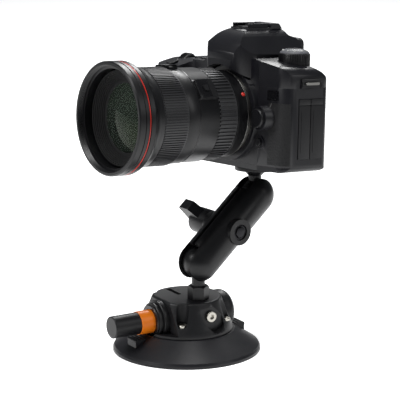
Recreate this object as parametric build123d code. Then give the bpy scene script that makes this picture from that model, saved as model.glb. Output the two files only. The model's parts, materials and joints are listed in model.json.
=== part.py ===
from build123d import *
import os
from math import sin, cos, tan, radians, sqrt

# A camera carried by a double-ball clamp arm on a hand-pumped vacuum cup.
# The row frame stands on the sealing lip: origin at the middle of the lip plane, +Z up, pump towards -Y.
# The camera and its lens are modelled in a frame of their own, with the origin in the middle of the lens
# mount, -Y along the lens and +Z up, and are then set on the upper ball stud.

# ---------------------------------------------------------------- driving dimensions, mm and degrees
RUN = 0.05              # radial clearance of a bore round the pin or shaft that turns or slides in it
DROP_IN = 0.15          # gap round a part that sits in a pocket
SOCKET_GAP = 0.06       # gap between a ball and its socket

# vacuum cup and the plate bonded into it
CUP_R = 59.0
CUP_LIP_T = 2.2
CUP_LIP_W = 1.0         # from the foot of the cone to the edge
CUP_CONE_Z = 4.2
CUP_SHOULDER_R = 38.5
CUP_TOP_Z = 17.0
CUP_SEAL_W = 3.5        # width of the flat sealing ring
CUP_DOME_H = 7.0        # height of the hollow under the cup
CUP_WEB_T = 3.0         # rubber left above the hollow
TAB_W, TAB_L, TAB_Z = 13.0, 9.0, 16.5
TAB_FROM_EDGE = 12.0    # middle of a tab, in from the foot of the cone
PLATE_R = 36.4
PLATE_T = 4.0
PORT_R = 1.6            # air passage
PORT_Y = 17.0

# pump housing
HOUSING_R = 37.0
HOUSING_TOP_R = 27.5
HOUSING_ROOF_T = 4.25   # over the pump cylinder
PUMP_BED_T = 1.05       # between the plate and the pump cylinder
HOUSING_SKIRT_H = 2.5   # straight skirt above the cup
HOUSING_FRONT_Y = -24.0
CAVITY_R = 24.0
TOP_EDGE_R = 2.0
NICHE_R = 4.9           # upright niches over the four housing screws
NICHE_AT = (24.0, 20.0)   # from the middle of the screw pattern
NICHE_MIDDLE_Y = 2.0
NICHE_FLOOR_Z = 26.0
SCREW_R = 2.0
SCREW_HEAD_R, SCREW_HEAD_H = 3.7, 2.2
SIDE_POCKET_X = 28.0
SIDE_SCREW_Y, SIDE_SCREW_Z = 5.2, 32.4
SIDE_SCREW_HEAD_R, SIDE_SCREW_HEAD_H, SIDE_SHANK_L = 4.5, 2.6, 7.0
TOP_SLOT_L, TOP_SLOT_W, TOP_SLOT_DEEP = 20.0, 4.0, 2.0
TOP_SLOT_AT = (-13.6, -4.0)

# hand pump
PUMP_BORE_R = 9.75
PUMP_WALL = 2.6
PUMP_FRONT_Y, PUMP_REAR_Y = -34.0, 24.0
PUMP_COLLAR_T = 0.85    # how far the collar stands out from the cylinder
PUMP_BOSS_T = 3.3       # wall of the boss round the collar
PUMP_BOSS_FRONT_Y, PUMP_BOSS_REAR_Y = -26.0, 38.0
BAND_GAP, BAND_L = 0.35, 12.8   # between the band and the bore
PUMP_KNOB_STEP = 0.5    # from the band's radius down to the knob's
PUMP_KNOB_FRONT_Y = -69.0
PUMP_ROD_R = 3.0
PUMP_STROKE = 16.0
SEAL_T = 5.0
SPRING_WIRE_R, SPRING_R, SPRING_TURNS = 0.7, 6.6, 5

# lower ball stud
BALL_R = 12.7
STUD_AT = (13.8, 2.7)
HEX_AF, HEX_H = 15.0, 11.0
LOWER_BALL_UP = 30.0    # ball centre above the housing
NECK_R = 5.3
STUD_THREAD_R, STUD_THREAD_L = 4.0, 7.5

# clamp arm
ARM_CENTRES = 73.6      # between the two ball centres
ARM_LEAN = 50.8         # from upright, towards +Y
BOLT_AZIMUTH = 7.0      # the clamp bolt, from +X towards +Y
ARM_R = 15.8
ARM_WAIST = 11.5        # half height of the arm beside the bolt
ARM_SPLIT = 3.0         # gap between the halves
ARM_CORE_R = 9.5        # hollow inside each half
BOLT_BOSS_R, BOLT_BOSS_X = 10.6, 18.0
BOLT_R = 3.15
BOLT_HEAD_R, BOLT_HEAD_H = 6.2, 4.0
ARM_NOTCH_W = 13.8      # slot at each end, in which the neck swings
KNOB_HUB_R = 10.5
KNOB_L = 26.0
WING_SPAN, WING_T, WING_H = 37.0, 9.0, 12.0
KNOB_NUT_R, KNOB_NUT_L = 5.0, 10.0
CLAMP_SPRING_WIRE_R, CLAMP_SPRING_R = 0.6, 4.6

# upper stud under the camera
STUD_DISC_R, STUD_DISC_T = 16.3, 4.0
PAD_T = 1.5
TRIPOD_SCREW_R, TRIPOD_SCREW_L = 3.12, 6.0
UPPER_BALL_DROP = 25.0  # ball centre below the camera's base
CAMERA_YAW, CAMERA_PITCH, CAMERA_ROLL = 4.8, -4.7, -4.2

# camera body, in the camera's own frame
GRIP_X, PORT_X = -88.0, 64.0
BASE_Z = -42.0
FRONT_Y, REAR_Y = 6.0, 54.0
SWEEP_X, SWEEP = 36.0, 6.0       # the front face falls back beyond this, by this much at the corner
PORT_CORNER_R = 11.0
REAR_TOP_R, REAR_LOW_R = 16.0, 8.0
WALL = 2.6
DECK_Z = 24.0           # seam under the top cover
SEAM_Y = 17.0           # seam between the front and rear covers
PLATE_SEAM_Z = -38.0    # seam above the bottom plate
GRIP_FRONT_Y, GRIP_INNER_X = -8.0, -52.0
SHOULDER_Z, SHOULDER_SLOPE = 38.5, 11.0
GRIP_TOP_Z = 38.5
SOCKET_Y = 32.0
SOCKET_R, SOCKET_L = 6.0, 8.0

# viewfinder hump
HUMP_TOP_Z, HUMP_TOP_W = 67.5, 25.0
HUMP_BASE_Z, HUMP_BASE_W = 43.0, 60.0
HUMP_FOOT_Z = 26.0
HUMP_NOSE_Y, HUMP_REAR_Y = -8.0, 58.5
HUMP_NOSE_W, HUMP_NOSE_R = 52.0, 19.0
HUMP_EDGE_R = 15.0      # along both sides of its top
HUMP_BROW_R = 27.0      # the round front of the hump, seen from the side
ARCH_R = 39.0           # the hollow under the nose, round the lens
CREST_Y, CREST_H = (35.0, 46.5), 3.2
EYE_Z = (45.0, 55.0)    # the viewfinder window
SHOE_Y, SHOE_W, SHOE_H, SHOE_FLOOR_T = (14.0, 33.0), 21.0, 3.2, 0.8
SHOE_FOOT_W, SHOE_FOOT_H, SHOE_GAP = 18.8, 1.4, 12.6   # the standard channel for a foot
EYECUP_W, EYECUP_L = 36.0, 6.5

# lens mount and what is behind it
MOUNT_BOSS_R, MOUNT_BOSS_Y = 37.5, 1.6
MOUNT_RING_R, MOUNT_THROAT_R, MOUNT_RING_T = 32.5, 27.0, 2.4
SENSOR_Y = 44.0
SENSOR_W, SENSOR_H = 36.0, 24.0
MIRROR_BOX_W, MIRROR_BOX_H, MIRROR_BOX_WALL = 46.0, 38.0, 2.0
PRISM_W = 24.0
MIRROR_W, MIRROR_L, MIRROR_T = 36.0, 33.0, 1.4
MIRROR_HINGE_Y, MIRROR_HINGE_Z = 35.5, 15.2

# controls
DIAL_AT = (41.6, 36.0)
DIAL_R, DIAL_H, DIAL_COLLAR_H = 11.2, 6.5, 2.0
MAIN_DIAL_R, MAIN_DIAL_W = 7.0, 9.0
MAIN_DIAL_AT = (-70.0, 14.0, GRIP_TOP_Z - 3.5)
SHUTTER_AT = (-70.0, -1.0)
SHUTTER_R, SHUTTER_TRAVEL = 5.2, 1.2
GRIP_SLOPE = 20.0
RELEASE_AT = (43.5, 0.0)
RELEASE_R, RELEASE_TRAVEL = 7.4, 2.0
PREVIEW_AT = (38.0, -19.5)
PREVIEW_R, PREVIEW_TRAVEL = 3.1, 1.0
QUICK_DIAL_AT = (-62.0, -14.0)
QUICK_DIAL_R, SET_R = 19.0, 7.0
JOYSTICK_AT = (-46.0, 15.0)
JOYSTICK_R = 3.6
BUTTON_R, BUTTON_TRAVEL = 3.2, 0.8
SCREEN_AT = (-2.0, -10.0)
SCREEN_W, SCREEN_H, SCREEN_T = 68.0, 47.0, 1.4
TOP_SCREEN_AT = (-56.0, 33.0)
TOP_SCREEN_W, TOP_SCREEN_L, TOP_SCREEN_T = 34.0, 18.0, 1.2
SIDE_COLUMN = [(46.0, z) for z in (-30.0, -19.5, -9.0, 1.5, 12.0)]
REAR_BUTTONS = SIDE_COLUMN + [(x, 27.0) for x in (-76.0, -66.0, -56.0)]
TOP_BUTTONS = [(x, 16.0) for x in (-58.0, -49.0)]

# doors
PORT_DOOR_Y = (24.0, 35.6, 47.6)
PORT_DOOR_Z = (-31.5, 15.5)
CARD_DOOR_Y, CARD_DOOR_Z = (8.0, 34.0), (-26.0, 20.0)
BATTERY_DOOR_X, BATTERY_DOOR_Y = (-83.0, -57.0), (3.0, 42.0)
DOOR_T, DOOR_PROUD = 1.8, 0.6
BATTERY_W, BATTERY_D, BATTERY_H = 21.0, 34.0, 56.0
LUG_SPAN = (29.0, 42.0, 26.5, 28.5)  # y and z of a strap lug

# lens, along -Y from the mount
LENS_FRONT_Y = -111.6
TRIM_REAR_Y = -96.0
TRIM_R, TRIM_BORE_R = 44.25, 38.5
FILTER_R, FILTER_L = 41.0, 4.6  # thread at the front of the lens
FOCUS_R, FOCUS_Y = 38.6, (-85.0, -61.0)
ZOOM_R, ZOOM_Y = 36.2, (-31.5, -12.5)
COLLAR_R, COLLAR_Y = 37.4, -50.0
FIXED_R = 37.0
MOUNT_END_R = 34.0
RING_SEAT_DEEP = 3.0    # depth of the groove that a ring turns in
BARREL_BORE_R = 26.0
FRONT_BORE_R, FRONT_BORE_Y = 37.2, -88.0
GROUP_R, GROUP_TRAVEL = 36.9, 4.0
GLASS_R, GLASS_CROWN, GLASS_T = 27.0, 5.0, 6.0
PANEL_ANGLE = 52.0
PANEL_W, PANEL_T = 17.0, 1.6
SWITCH_W, SWITCH_L, SWITCH_H, SWITCH_TRAVEL = 5.0, 4.0, 1.4, 3.0

# ---------------------------------------------------------------- worked-out sizes
PLATE_Z = CUP_DOME_H + CUP_WEB_T
DECK_OF_PLATE = PLATE_Z + PLATE_T
CUP_CONE_R = CUP_R - CUP_LIP_W
PUMP_R = PUMP_BORE_R + PUMP_WALL
PUMP_Z = DECK_OF_PLATE + PUMP_BED_T + PUMP_R
HOUSING_TOP_Z = PUMP_Z + PUMP_R + HOUSING_ROOF_T
PUMP_COLLAR_R = PUMP_R + PUMP_COLLAR_T
PUMP_BOSS_R = PUMP_COLLAR_R + PUMP_BOSS_T
BAND_R = PUMP_BORE_R - BAND_GAP
PUMP_KNOB_R = BAND_R - PUMP_KNOB_STEP
LOWER_BALL_Z = HOUSING_TOP_Z + LOWER_BALL_UP
ARM_TILT = radians(ARM_LEAN)
BOLT_TURN = radians(BOLT_AZIMUTH)
CAMERA_TURN = Rot(Z=CAMERA_YAW) * Rot(X=CAMERA_PITCH) * Rot(Y=CAMERA_ROLL)
LOWER_BALL = Vector(STUD_AT[0], STUD_AT[1], LOWER_BALL_Z)
BOLT_AXIS = Vector(cos(BOLT_TURN), sin(BOLT_TURN), 0)
ARM_AXIS = Vector(-sin(BOLT_TURN) * sin(ARM_TILT), cos(BOLT_TURN) * sin(ARM_TILT), cos(ARM_TILT))
UPPER_BALL = LOWER_BALL + ARM_AXIS * ARM_CENTRES
BALL_IN_CAMERA = Vector(0, SOCKET_Y, BASE_Z - UPPER_BALL_DROP)
CAMERA = Pos(*(UPPER_BALL - (CAMERA_TURN * Pos(*BALL_IN_CAMERA)).position)) * CAMERA_TURN
FAR = 200.0             # well outside the object
ARM = Location(Plane(origin=(LOWER_BALL + UPPER_BALL) * 0.5, x_dir=BOLT_AXIS, z_dir=ARM_AXIS))


# ---------------------------------------------------------------- shapes used throughout
def cyl_x(r, x0, x1, y=0, z=0):
    return Pos((x0 + x1) / 2, y, z) * Rot(Y=90) * Cylinder(r, x1 - x0)


def cyl_y(r, y0, y1, x=0, z=0):
    return Pos(x, (y0 + y1) / 2, z) * Rot(X=90) * Cylinder(r, y1 - y0)


def cyl_z(r, z0, z1, x=0, y=0):
    return Pos(x, y, (z0 + z1) / 2) * Cylinder(r, z1 - z0)


def block(x, y, z):
    """A box from three (low, high) pairs."""
    middle = [(low + high) / 2 for low, high in (x, y, z)]
    return Pos(*middle) * Box(x[1] - x[0], y[1] - y[0], z[1] - z[0])


def round_block(x, y, z, r, axis):
    """A box whose four edges along one axis are rounded."""
    solid = block(x, y, z)
    return fillet(solid.edges().filter_by(axis), r)


def outline(*corners):
    """A closed face from corners, each (u, v, radius)."""
    ends = []
    for i, (u, v, r) in enumerate(corners):
        corner = Vector(u, v)
        back = (Vector(*corners[i - 1][:2]) - corner).normalized()
        on = (Vector(*corners[(i + 1) % len(corners)][:2]) - corner).normalized()
        half = radians(back.get_angle(on)) / 2
        reach = r / tan(half)
        middle = corner + (back + on).normalized() * (r / sin(half) - r)
        ends.append((corner + back * reach, middle, corner + on * reach, r))
    edges = []
    for i, (start, middle, end, r) in enumerate(ends):
        if r:
            edges.append(ThreePointArc(start, middle, end))
        edges.append(Line(end, ends[(i + 1) % len(ends)][0]))
    return make_face(edges)


def lathe_z(*points):
    """A solid turned about Z from its (radius, z) section."""
    return revolve(Plane.XZ * make_face(Polyline(*points, close=True)), Axis.Z)


def lathe_y(*points):
    """A solid turned about Y from its (radius, y) section."""
    return revolve(make_face(Polyline(*points, close=True)), Axis.Y)


def along_y(face, y0, y1):
    """An x, z face carried from y0 to y1."""
    return extrude(Plane.XZ.offset(-y0) * face, -(y1 - y0))


def along_x(face, x0, x1):
    """A y, z face carried from x0 to x1."""
    return extrude(Plane.YZ.offset(x0) * face, x1 - x0)


def along_z(face, z0, z1):
    """An x, y face carried from z0 to z1."""
    return extrude(Plane.XY.offset(z0) * face, z1 - z0)


def coil(wire_r, coil_r, length, turns):
    """A round wire wound along +Z from the origin."""
    path = Helix(length / turns, length, coil_r)
    return sweep(Plane(path @ 0, z_dir=path % 0) * Circle(wire_r), path, is_frenet=True)


def ring_of(points, make):
    """One group of separate solids, one at each point."""
    return Compound(children=[make(point) for point in points])


# ---------------------------------------------------------------- vacuum cup base
def suction_cup():
    seal_in = CUP_R - CUP_SEAL_W
    pocket_r = PLATE_R + DROP_IN
    with BuildSketch(Plane.XZ) as section:
        with BuildLine():
            Polyline((seal_in, 0), (CUP_R, 0), (CUP_R, CUP_LIP_T), (CUP_CONE_R, CUP_CONE_Z),
                     (CUP_SHOULDER_R, CUP_TOP_Z), (pocket_r, CUP_TOP_Z), (pocket_r, PLATE_Z), (0, PLATE_Z),
                     (0, CUP_DOME_H))
            ThreePointArc((0, CUP_DOME_H), (seal_in * 0.55, CUP_DOME_H * 0.72), (seal_in, 0))
        make_face()
    cup = revolve(section.sketch, Axis.Z)
    slope = (CUP_TOP_Z - CUP_CONE_Z) / (CUP_CONE_R - CUP_SHOULDER_R)
    for side in (-1, 1):
        middle = side * (CUP_CONE_R - TAB_FROM_EDGE)
        foot = CUP_CONE_Z + slope * (CUP_CONE_R - abs(middle)) - 3
        cup += block((-TAB_W / 2, TAB_W / 2), (middle - TAB_L / 2, middle + TAB_L / 2), (foot, TAB_Z - 2.5))
        for step in (-1, 0, 1):
            cup += cyl_x(1.8, -TAB_W / 2, TAB_W / 2, middle + step * TAB_L / 3, TAB_Z - 2.5)
    return cup - cyl_z(PORT_R, 0, PLATE_Z + 1, 0, PORT_Y)


def screw_points():
    x, y = NICHE_AT
    return [(side * x, NICHE_MIDDLE_Y + end * y) for side in (1, -1) for end in (-1, 1)]


def cup_plate():
    plate = cyl_z(PLATE_R, PLATE_Z, DECK_OF_PLATE)
    for x, y in screw_points():
        plate -= cyl_z(SCREW_R + RUN, PLATE_Z + 1, DECK_OF_PLATE, x, y)
    plate -= cyl_z(PORT_R, PLATE_Z, DECK_OF_PLATE, 0, PORT_Y)
    return plate - cyl_z(4.0 + RUN, DECK_OF_PLATE - 2.5, DECK_OF_PLATE, 0, PORT_Y)


def check_valve():
    top = PUMP_Z - PUMP_R
    return cyl_z(4.0, DECK_OF_PLATE - 2.5, top, 0, PORT_Y) - cyl_z(1.0, DECK_OF_PLATE - 2.5, top, 0, PORT_Y)


def housing_screws():
    def screw(point):
        x, y = point
        head = cyl_z(SCREW_HEAD_R, NICHE_FLOOR_Z, NICHE_FLOOR_Z + SCREW_HEAD_H, x, y)
        head = fillet(head.edges().sort_by(Axis.Z)[-1], 0.7)
        drive = Pos(x, y, NICHE_FLOOR_Z + SCREW_HEAD_H) * extrude(RegularPolygon(1.6, 6), -1.4)
        return head + cyl_z(SCREW_R, PLATE_Z + 1.2, NICHE_FLOOR_Z, x, y) - drive
    return ring_of(screw_points(), screw)


def side_screws():
    def screw(side):
        outer = SIDE_POCKET_X + SIDE_SCREW_HEAD_H
        head = cyl_x(SIDE_SCREW_HEAD_R, SIDE_POCKET_X, outer, SIDE_SCREW_Y, SIDE_SCREW_Z)
        head = fillet(head.edges().sort_by(Axis.X)[-1], 0.7)
        shank = cyl_x(SCREW_R, SIDE_POCKET_X - SIDE_SHANK_L, SIDE_POCKET_X, SIDE_SCREW_Y, SIDE_SCREW_Z)
        face = Plane(origin=(outer, SIDE_SCREW_Y, SIDE_SCREW_Z), z_dir=(1, 0, 0))
        screw = head + shank - extrude(face * RegularPolygon(2.2, 6), -1.8)
        return screw if side > 0 else screw.mirror(Plane.YZ)
    return ring_of((1, -1), screw)


def side_pocket():
    """A teardrop cut, wide at the top and round below."""
    y, z = SIDE_SCREW_Y, SIDE_SCREW_Z
    face = outline((y - 11, z + 7, 2), (y + 9.5, z + 8, 2.5), (y + 11.5, z - 11, 6.5), (y + 1, z - 13.5, 6.5),
                   (y - 7, z - 6, 3))
    return along_x(face, SIDE_POCKET_X, HOUSING_R + 5)


def base_housing():
    skirt_top = CUP_TOP_Z + HOUSING_SKIRT_H
    body = lathe_z((0, DECK_OF_PLATE), (PLATE_R, DECK_OF_PLATE), (PLATE_R, CUP_TOP_Z), (HOUSING_R, CUP_TOP_Z),
                   (HOUSING_R, skirt_top), (HOUSING_TOP_R, HOUSING_TOP_Z), (0, HOUSING_TOP_Z))
    body -= block((-HOUSING_R, HOUSING_R), (-HOUSING_R - 9, HOUSING_FRONT_Y), (skirt_top, HOUSING_TOP_Z + 9))
    body = fillet(body.faces().sort_by(Axis.Z)[-1].edges(), TOP_EDGE_R)
    barrel = cyl_y(PUMP_BOSS_R, 0, PUMP_BOSS_REAR_Y, 0, PUMP_Z)
    barrel = fillet(barrel.edges().sort_by(Axis.Y)[-1], 7)
    nose = cyl_y(PUMP_BOSS_R - 1, PUMP_BOSS_FRONT_Y, 0, 0, PUMP_Z)
    nose = fillet(nose.edges().sort_by(Axis.Y)[0], 1)
    below = block((-60, 60), (-60, 60), (-20, DECK_OF_PLATE))
    beside = lathe_z((PLATE_R, -20), (80, -20), (80, CUP_TOP_Z), (PLATE_R, CUP_TOP_Z))
    body = body + barrel + nose - below - beside
    cavity = cyl_z(CAVITY_R, DECK_OF_PLATE, CUP_TOP_Z + 1)
    cavity -= block((-60, 60), (-60, -15), (0, 60))
    body -= cavity
    body -= cyl_y(PUMP_R + RUN, PUMP_FRONT_Y - 5, PUMP_REAR_Y, 0, PUMP_Z)
    body -= cyl_y(PUMP_COLLAR_R + RUN, PUMP_FRONT_Y - 5, PUMP_BOSS_FRONT_Y + 1, 0, PUMP_Z)
    for x, y in screw_points():
        body -= cyl_z(NICHE_R, NICHE_FLOOR_Z, HOUSING_TOP_Z + 9, x, y)
        body -= cyl_z(SCREW_R + RUN, DECK_OF_PLATE, NICHE_FLOOR_Z, x, y)
    hole_end = SIDE_POCKET_X - SIDE_SHANK_L - 0.5
    shank_hole = cyl_x(SCREW_R + RUN, hole_end, SIDE_POCKET_X, SIDE_SCREW_Y, SIDE_SCREW_Z)
    pocket = side_pocket() + shank_hole
    body = body - pocket - pocket.mirror(Plane.YZ)
    slot = SlotOverall(TOP_SLOT_L, TOP_SLOT_W)
    body -= Pos(*TOP_SLOT_AT, HOUSING_TOP_Z - TOP_SLOT_DEEP) * extrude(slot, TOP_SLOT_DEEP + 1)
    return body - cyl_z(STUD_THREAD_R + RUN, HOUSING_TOP_Z - STUD_THREAD_L - 0.5, HOUSING_TOP_Z, *STUD_AT)


def pump_cylinder():
    tube = cyl_y(PUMP_R, PUMP_BOSS_FRONT_Y, PUMP_REAR_Y, 0, PUMP_Z)
    collar = cyl_y(PUMP_COLLAR_R, PUMP_FRONT_Y, PUMP_BOSS_FRONT_Y + 1, 0, PUMP_Z)
    collar = fillet(collar.edges().sort_by(Axis.Y)[0], 1.2)
    tube = tube + collar - cyl_y(PUMP_BORE_R, PUMP_FRONT_Y - 1, PUMP_REAR_Y - PUMP_WALL, 0, PUMP_Z)
    return tube - cyl_z(PORT_R, PUMP_Z - PUMP_R - 1, PUMP_Z, 0, PORT_Y)


# ---------------------------------------------------------------- hand pump plunger
BAND_FRONT_Y = PUMP_FRONT_Y - BAND_L + 1.0
SEAL_REAR_Y = PUMP_REAR_Y - PUMP_WALL - PUMP_STROKE - 3.0
HUB_R = PUMP_KNOB_R - 1.4


def pump_knob():
    knob = cyl_y(PUMP_KNOB_R, PUMP_KNOB_FRONT_Y, BAND_FRONT_Y, 0, PUMP_Z)
    knob = fillet(knob.edges().sort_by(Axis.Y)[0], 0.9)
    knob += cyl_y(HUB_R, BAND_FRONT_Y, BAND_FRONT_Y + BAND_L, 0, PUMP_Z)
    return knob - cyl_y(PUMP_ROD_R + 0.02, BAND_FRONT_Y - 12, BAND_FRONT_Y + BAND_L, 0, PUMP_Z)


def indicator_band():
    band = cyl_y(BAND_R, BAND_FRONT_Y, BAND_FRONT_Y + BAND_L, 0, PUMP_Z)
    return band - cyl_y(HUB_R + 0.02, BAND_FRONT_Y, BAND_FRONT_Y + BAND_L, 0, PUMP_Z)


def piston_rod():
    rod = cyl_y(PUMP_ROD_R, BAND_FRONT_Y - 12, SEAL_REAR_Y + 1.5, 0, PUMP_Z)
    return rod + cyl_y(PUMP_ROD_R + 3, SEAL_REAR_Y - SEAL_T - 1.5, SEAL_REAR_Y - SEAL_T, 0, PUMP_Z)


def piston_seal():
    rear = SEAL_REAR_Y
    cup = cyl_y(PUMP_BORE_R - RUN, rear - SEAL_T, rear, 0, PUMP_Z)
    cup -= cyl_y(PUMP_BORE_R - 2, rear - 1.5, rear, 0, PUMP_Z)
    return cup - cyl_y(PUMP_ROD_R + 0.02, rear - SEAL_T, rear, 0, PUMP_Z)


def pump_spring():
    start = SEAL_REAR_Y - 1.5 + SPRING_WIRE_R + 0.02
    length = PUMP_REAR_Y - PUMP_WALL - SPRING_WIRE_R - 0.02 - start
    return Pos(0, start, PUMP_Z) * Rot(X=-90) * coil(SPRING_WIRE_R, SPRING_R, length, SPRING_TURNS)


# ---------------------------------------------------------------- ball studs
def lower_ball_stud():
    x, y = STUD_AT
    hexagon = extrude(RegularPolygon(HEX_AF / sqrt(3), 6), HEX_H)
    chamfer_cone = lathe_z((0, 0), (HEX_AF / sqrt(3) + 2, 0), (HEX_AF / sqrt(3) + 0.3, HEX_H - 1.2),
                           (HEX_AF / 2 - 0.2, HEX_H), (0, HEX_H))
    foot = Pos(x, y, HOUSING_TOP_Z) * (hexagon & chamfer_cone)
    thread = cyl_z(STUD_THREAD_R, HOUSING_TOP_Z - STUD_THREAD_L, HOUSING_TOP_Z, x, y)
    neck = cyl_z(NECK_R, HOUSING_TOP_Z + HEX_H, LOWER_BALL_Z, x, y)
    return foot + thread + neck + Pos(*LOWER_BALL) * Sphere(BALL_R)


def upper_ball_stud():
    disc_top = BASE_Z - PAD_T
    ball_z = BASE_Z - UPPER_BALL_DROP
    disc = cyl_z(STUD_DISC_R, disc_top - STUD_DISC_T, disc_top, 0, SOCKET_Y)
    disc = fillet(disc.edges(), 1.2)
    flare_h = 4.0
    flare = lathe_z((0, 0.5), (NECK_R + 4.2, 0.5), (NECK_R + 3.4, -0.5), (NECK_R, -flare_h), (0, -flare_h))
    flare = Pos(0, SOCKET_Y, disc_top - STUD_DISC_T) * flare
    neck = cyl_z(NECK_R, ball_z, disc_top - STUD_DISC_T, 0, SOCKET_Y)
    stud = disc + flare + neck + Pos(0, SOCKET_Y, ball_z) * Sphere(BALL_R)
    stud -= cyl_z(TRIPOD_SCREW_R + 0.02, disc_top - 6, disc_top, 0, SOCKET_Y)
    return CAMERA * stud


def camera_pad():
    pad = cyl_z(STUD_DISC_R - 0.5, BASE_Z - PAD_T, BASE_Z - 0.02, 0, SOCKET_Y)
    return CAMERA * (pad - cyl_z(TRIPOD_SCREW_R + 0.1, BASE_Z - PAD_T, BASE_Z, 0, SOCKET_Y))


def tripod_screw():
    return CAMERA * cyl_z(TRIPOD_SCREW_R, BASE_Z - PAD_T - 6, BASE_Z + TRIPOD_SCREW_L, 0, SOCKET_Y)


# ---------------------------------------------------------------- clamp arm, in its own frame
# +X along the clamp bolt to its head, +Z along the arm to the upper ball.
HALF = ARM_CENTRES / 2


def arm_half():
    """The half on the bolt head's side, before the bores that differ."""
    edge = ARM_R + 4
    outer = cyl_z(ARM_R, -HALF, HALF) + Pos(0, 0, HALF) * Sphere(ARM_R) + Pos(0, 0, -HALF) * Sphere(ARM_R)
    half = outer & block((ARM_SPLIT / 2, edge), (-edge, edge), (-HALF - edge, HALF + edge))
    corner = HALF * 0.72
    waist = along_x(outline((ARM_WAIST, 0, 34), (edge + 6, corner, 0), (edge + 6, -corner, 0)), 0, edge)
    half -= waist
    half -= waist.mirror(Plane.XZ)
    half += cyl_x(BOLT_BOSS_R, ARM_SPLIT / 2, BOLT_BOSS_X)
    core = cyl_z(ARM_CORE_R, -HALF, HALF) - cyl_x(BOLT_BOSS_R - 3, 0, edge)
    half -= core
    for end in (-1, 1):
        half -= Pos(0, 0, end * HALF) * Sphere(BALL_R + SOCKET_GAP)
        start, stop = sorted((end * (HALF - 6.2), end * (HALF + edge)))
        half -= block((0, ARM_NOTCH_W / 2), (-edge, edge), (start, stop))
    return half


def arm_near_half():
    half = arm_half() - cyl_x(BOLT_R + 0.02, 0, BOLT_BOSS_X)
    head_seat = BOLT_BOSS_X - BOLT_HEAD_H - 1.2
    return ARM * (half - cyl_x(BOLT_HEAD_R + 0.3, head_seat, BOLT_BOSS_X + 1))


def arm_far_half():
    half = arm_half().mirror(Plane.YZ)
    half -= cyl_x(BOLT_R + RUN, -BOLT_BOSS_X, 0)
    return ARM * (half - cyl_x(CLAMP_SPRING_R + 1.2, -8, 0))


def arm_bolt():
    head_seat = BOLT_BOSS_X - BOLT_HEAD_H - 1.2
    head = cyl_x(BOLT_HEAD_R, head_seat, head_seat + BOLT_HEAD_H)
    head = fillet(head.edges().sort_by(Axis.X)[-1], 0.8)
    return ARM * (head + cyl_x(BOLT_R, -BOLT_BOSS_X - KNOB_L + 4, head_seat))


def clamp_spring():
    start, end = ARM_SPLIT / 2, -8.0
    length = start - end - 2 * CLAMP_SPRING_WIRE_R - 0.1
    spring = coil(CLAMP_SPRING_WIRE_R, CLAMP_SPRING_R, length, 4)
    return ARM * (Pos(start - CLAMP_SPRING_WIRE_R - 0.05, 0, 0) * Rot(Y=-90) * spring)


def wing_knob():
    inner, outer = -BOLT_BOSS_X - 0.05, -BOLT_BOSS_X - KNOB_L
    hub = cyl_x(KNOB_HUB_R, outer + 8, inner)
    half = WING_SPAN / 2
    root = outer + KNOB_L - 11
    wings = outline((outer + WING_H, half, 2), (outer, half, 2), (outer + 4, 0, 12), (outer, -half, 2),
                    (outer + WING_H, -half, 2), (root + 4, -KNOB_HUB_R, 6), (root + 8, 0, 0),
                    (root + 4, KNOB_HUB_R, 6))
    knob = hub + extrude(Plane.XY.offset(-WING_T / 2) * wings, WING_T)
    knob -= cyl_x(KNOB_NUT_R + 0.02, inner - KNOB_NUT_L, inner)
    return ARM * (knob - cyl_x(BOLT_R + 0.3, outer + 3.5, inner))


def knob_nut():
    inner = -BOLT_BOSS_X - 0.05
    outer = inner - KNOB_NUT_L
    return ARM * (cyl_x(KNOB_NUT_R, outer, inner) - cyl_x(BOLT_R + RUN, outer, inner))


# ---------------------------------------------------------------- camera covers
def shoulder_z(x):
    """Height of the sloping shoulder beside the hump."""
    return SHOULDER_Z + (PORT_X - x) * tan(radians(SHOULDER_SLOPE))


def body_block(inset):
    """The camera body without its hump, shrunk all round by the inset."""
    front = outline((GRIP_X, BASE_Z, 6), (PORT_X, BASE_Z, 6), (PORT_X, SHOULDER_Z, 10),
                    (HUMP_BASE_W / 2, shoulder_z(HUMP_BASE_W / 2), 0), (-HUMP_BASE_W / 2, GRIP_TOP_Z + 4, 0),
                    (-HUMP_BASE_W / 2 - 7, GRIP_TOP_Z, 4), (GRIP_X, GRIP_TOP_Z, 11))
    plan = outline((GRIP_X, REAR_Y, 12), (GRIP_X, GRIP_FRONT_Y, 11), (GRIP_INNER_X - 6, GRIP_FRONT_Y, 9),
                   (GRIP_INNER_X, FRONT_Y, 6), (SWEEP_X, FRONT_Y, 0),
                   (PORT_X, FRONT_Y + SWEEP, PORT_CORNER_R), (PORT_X, REAR_Y, 6))
    side = outline((-FAR, BASE_Z, 0), (REAR_Y, BASE_Z, REAR_LOW_R), (REAR_Y, FAR, 0), (-FAR, FAR, 0))
    shoulder = outline((-FAR, -FAR, 0), (REAR_Y, -FAR, 0), (REAR_Y, 0, REAR_TOP_R), (-FAR, 0, 0))
    if inset:
        front, plan, side, shoulder = [offset(face, -inset, kind=Kind.INTERSECTION)
                                       for face in (front, plan, side, shoulder)]
    body = along_y(front, GRIP_FRONT_Y - 1, REAR_Y + 1) & along_z(plan, BASE_Z - 1, HUMP_TOP_Z)
    rear = Pos(PORT_X, 0, SHOULDER_Z) * Rot(Y=SHOULDER_SLOPE) * along_x(shoulder, -60, FAR)
    body &= along_x(side, -FAR, FAR) & (rear + block((-FAR, HUMP_BASE_W / 2), (-FAR, FAR), (-FAR, FAR)))
    slope = Pos(0, FRONT_Y + 4, GRIP_TOP_Z - inset) * Rot(X=GRIP_SLOPE)
    return body - slope * block((-120, GRIP_INNER_X + 1), (-60, 0), (0, 60))


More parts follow.
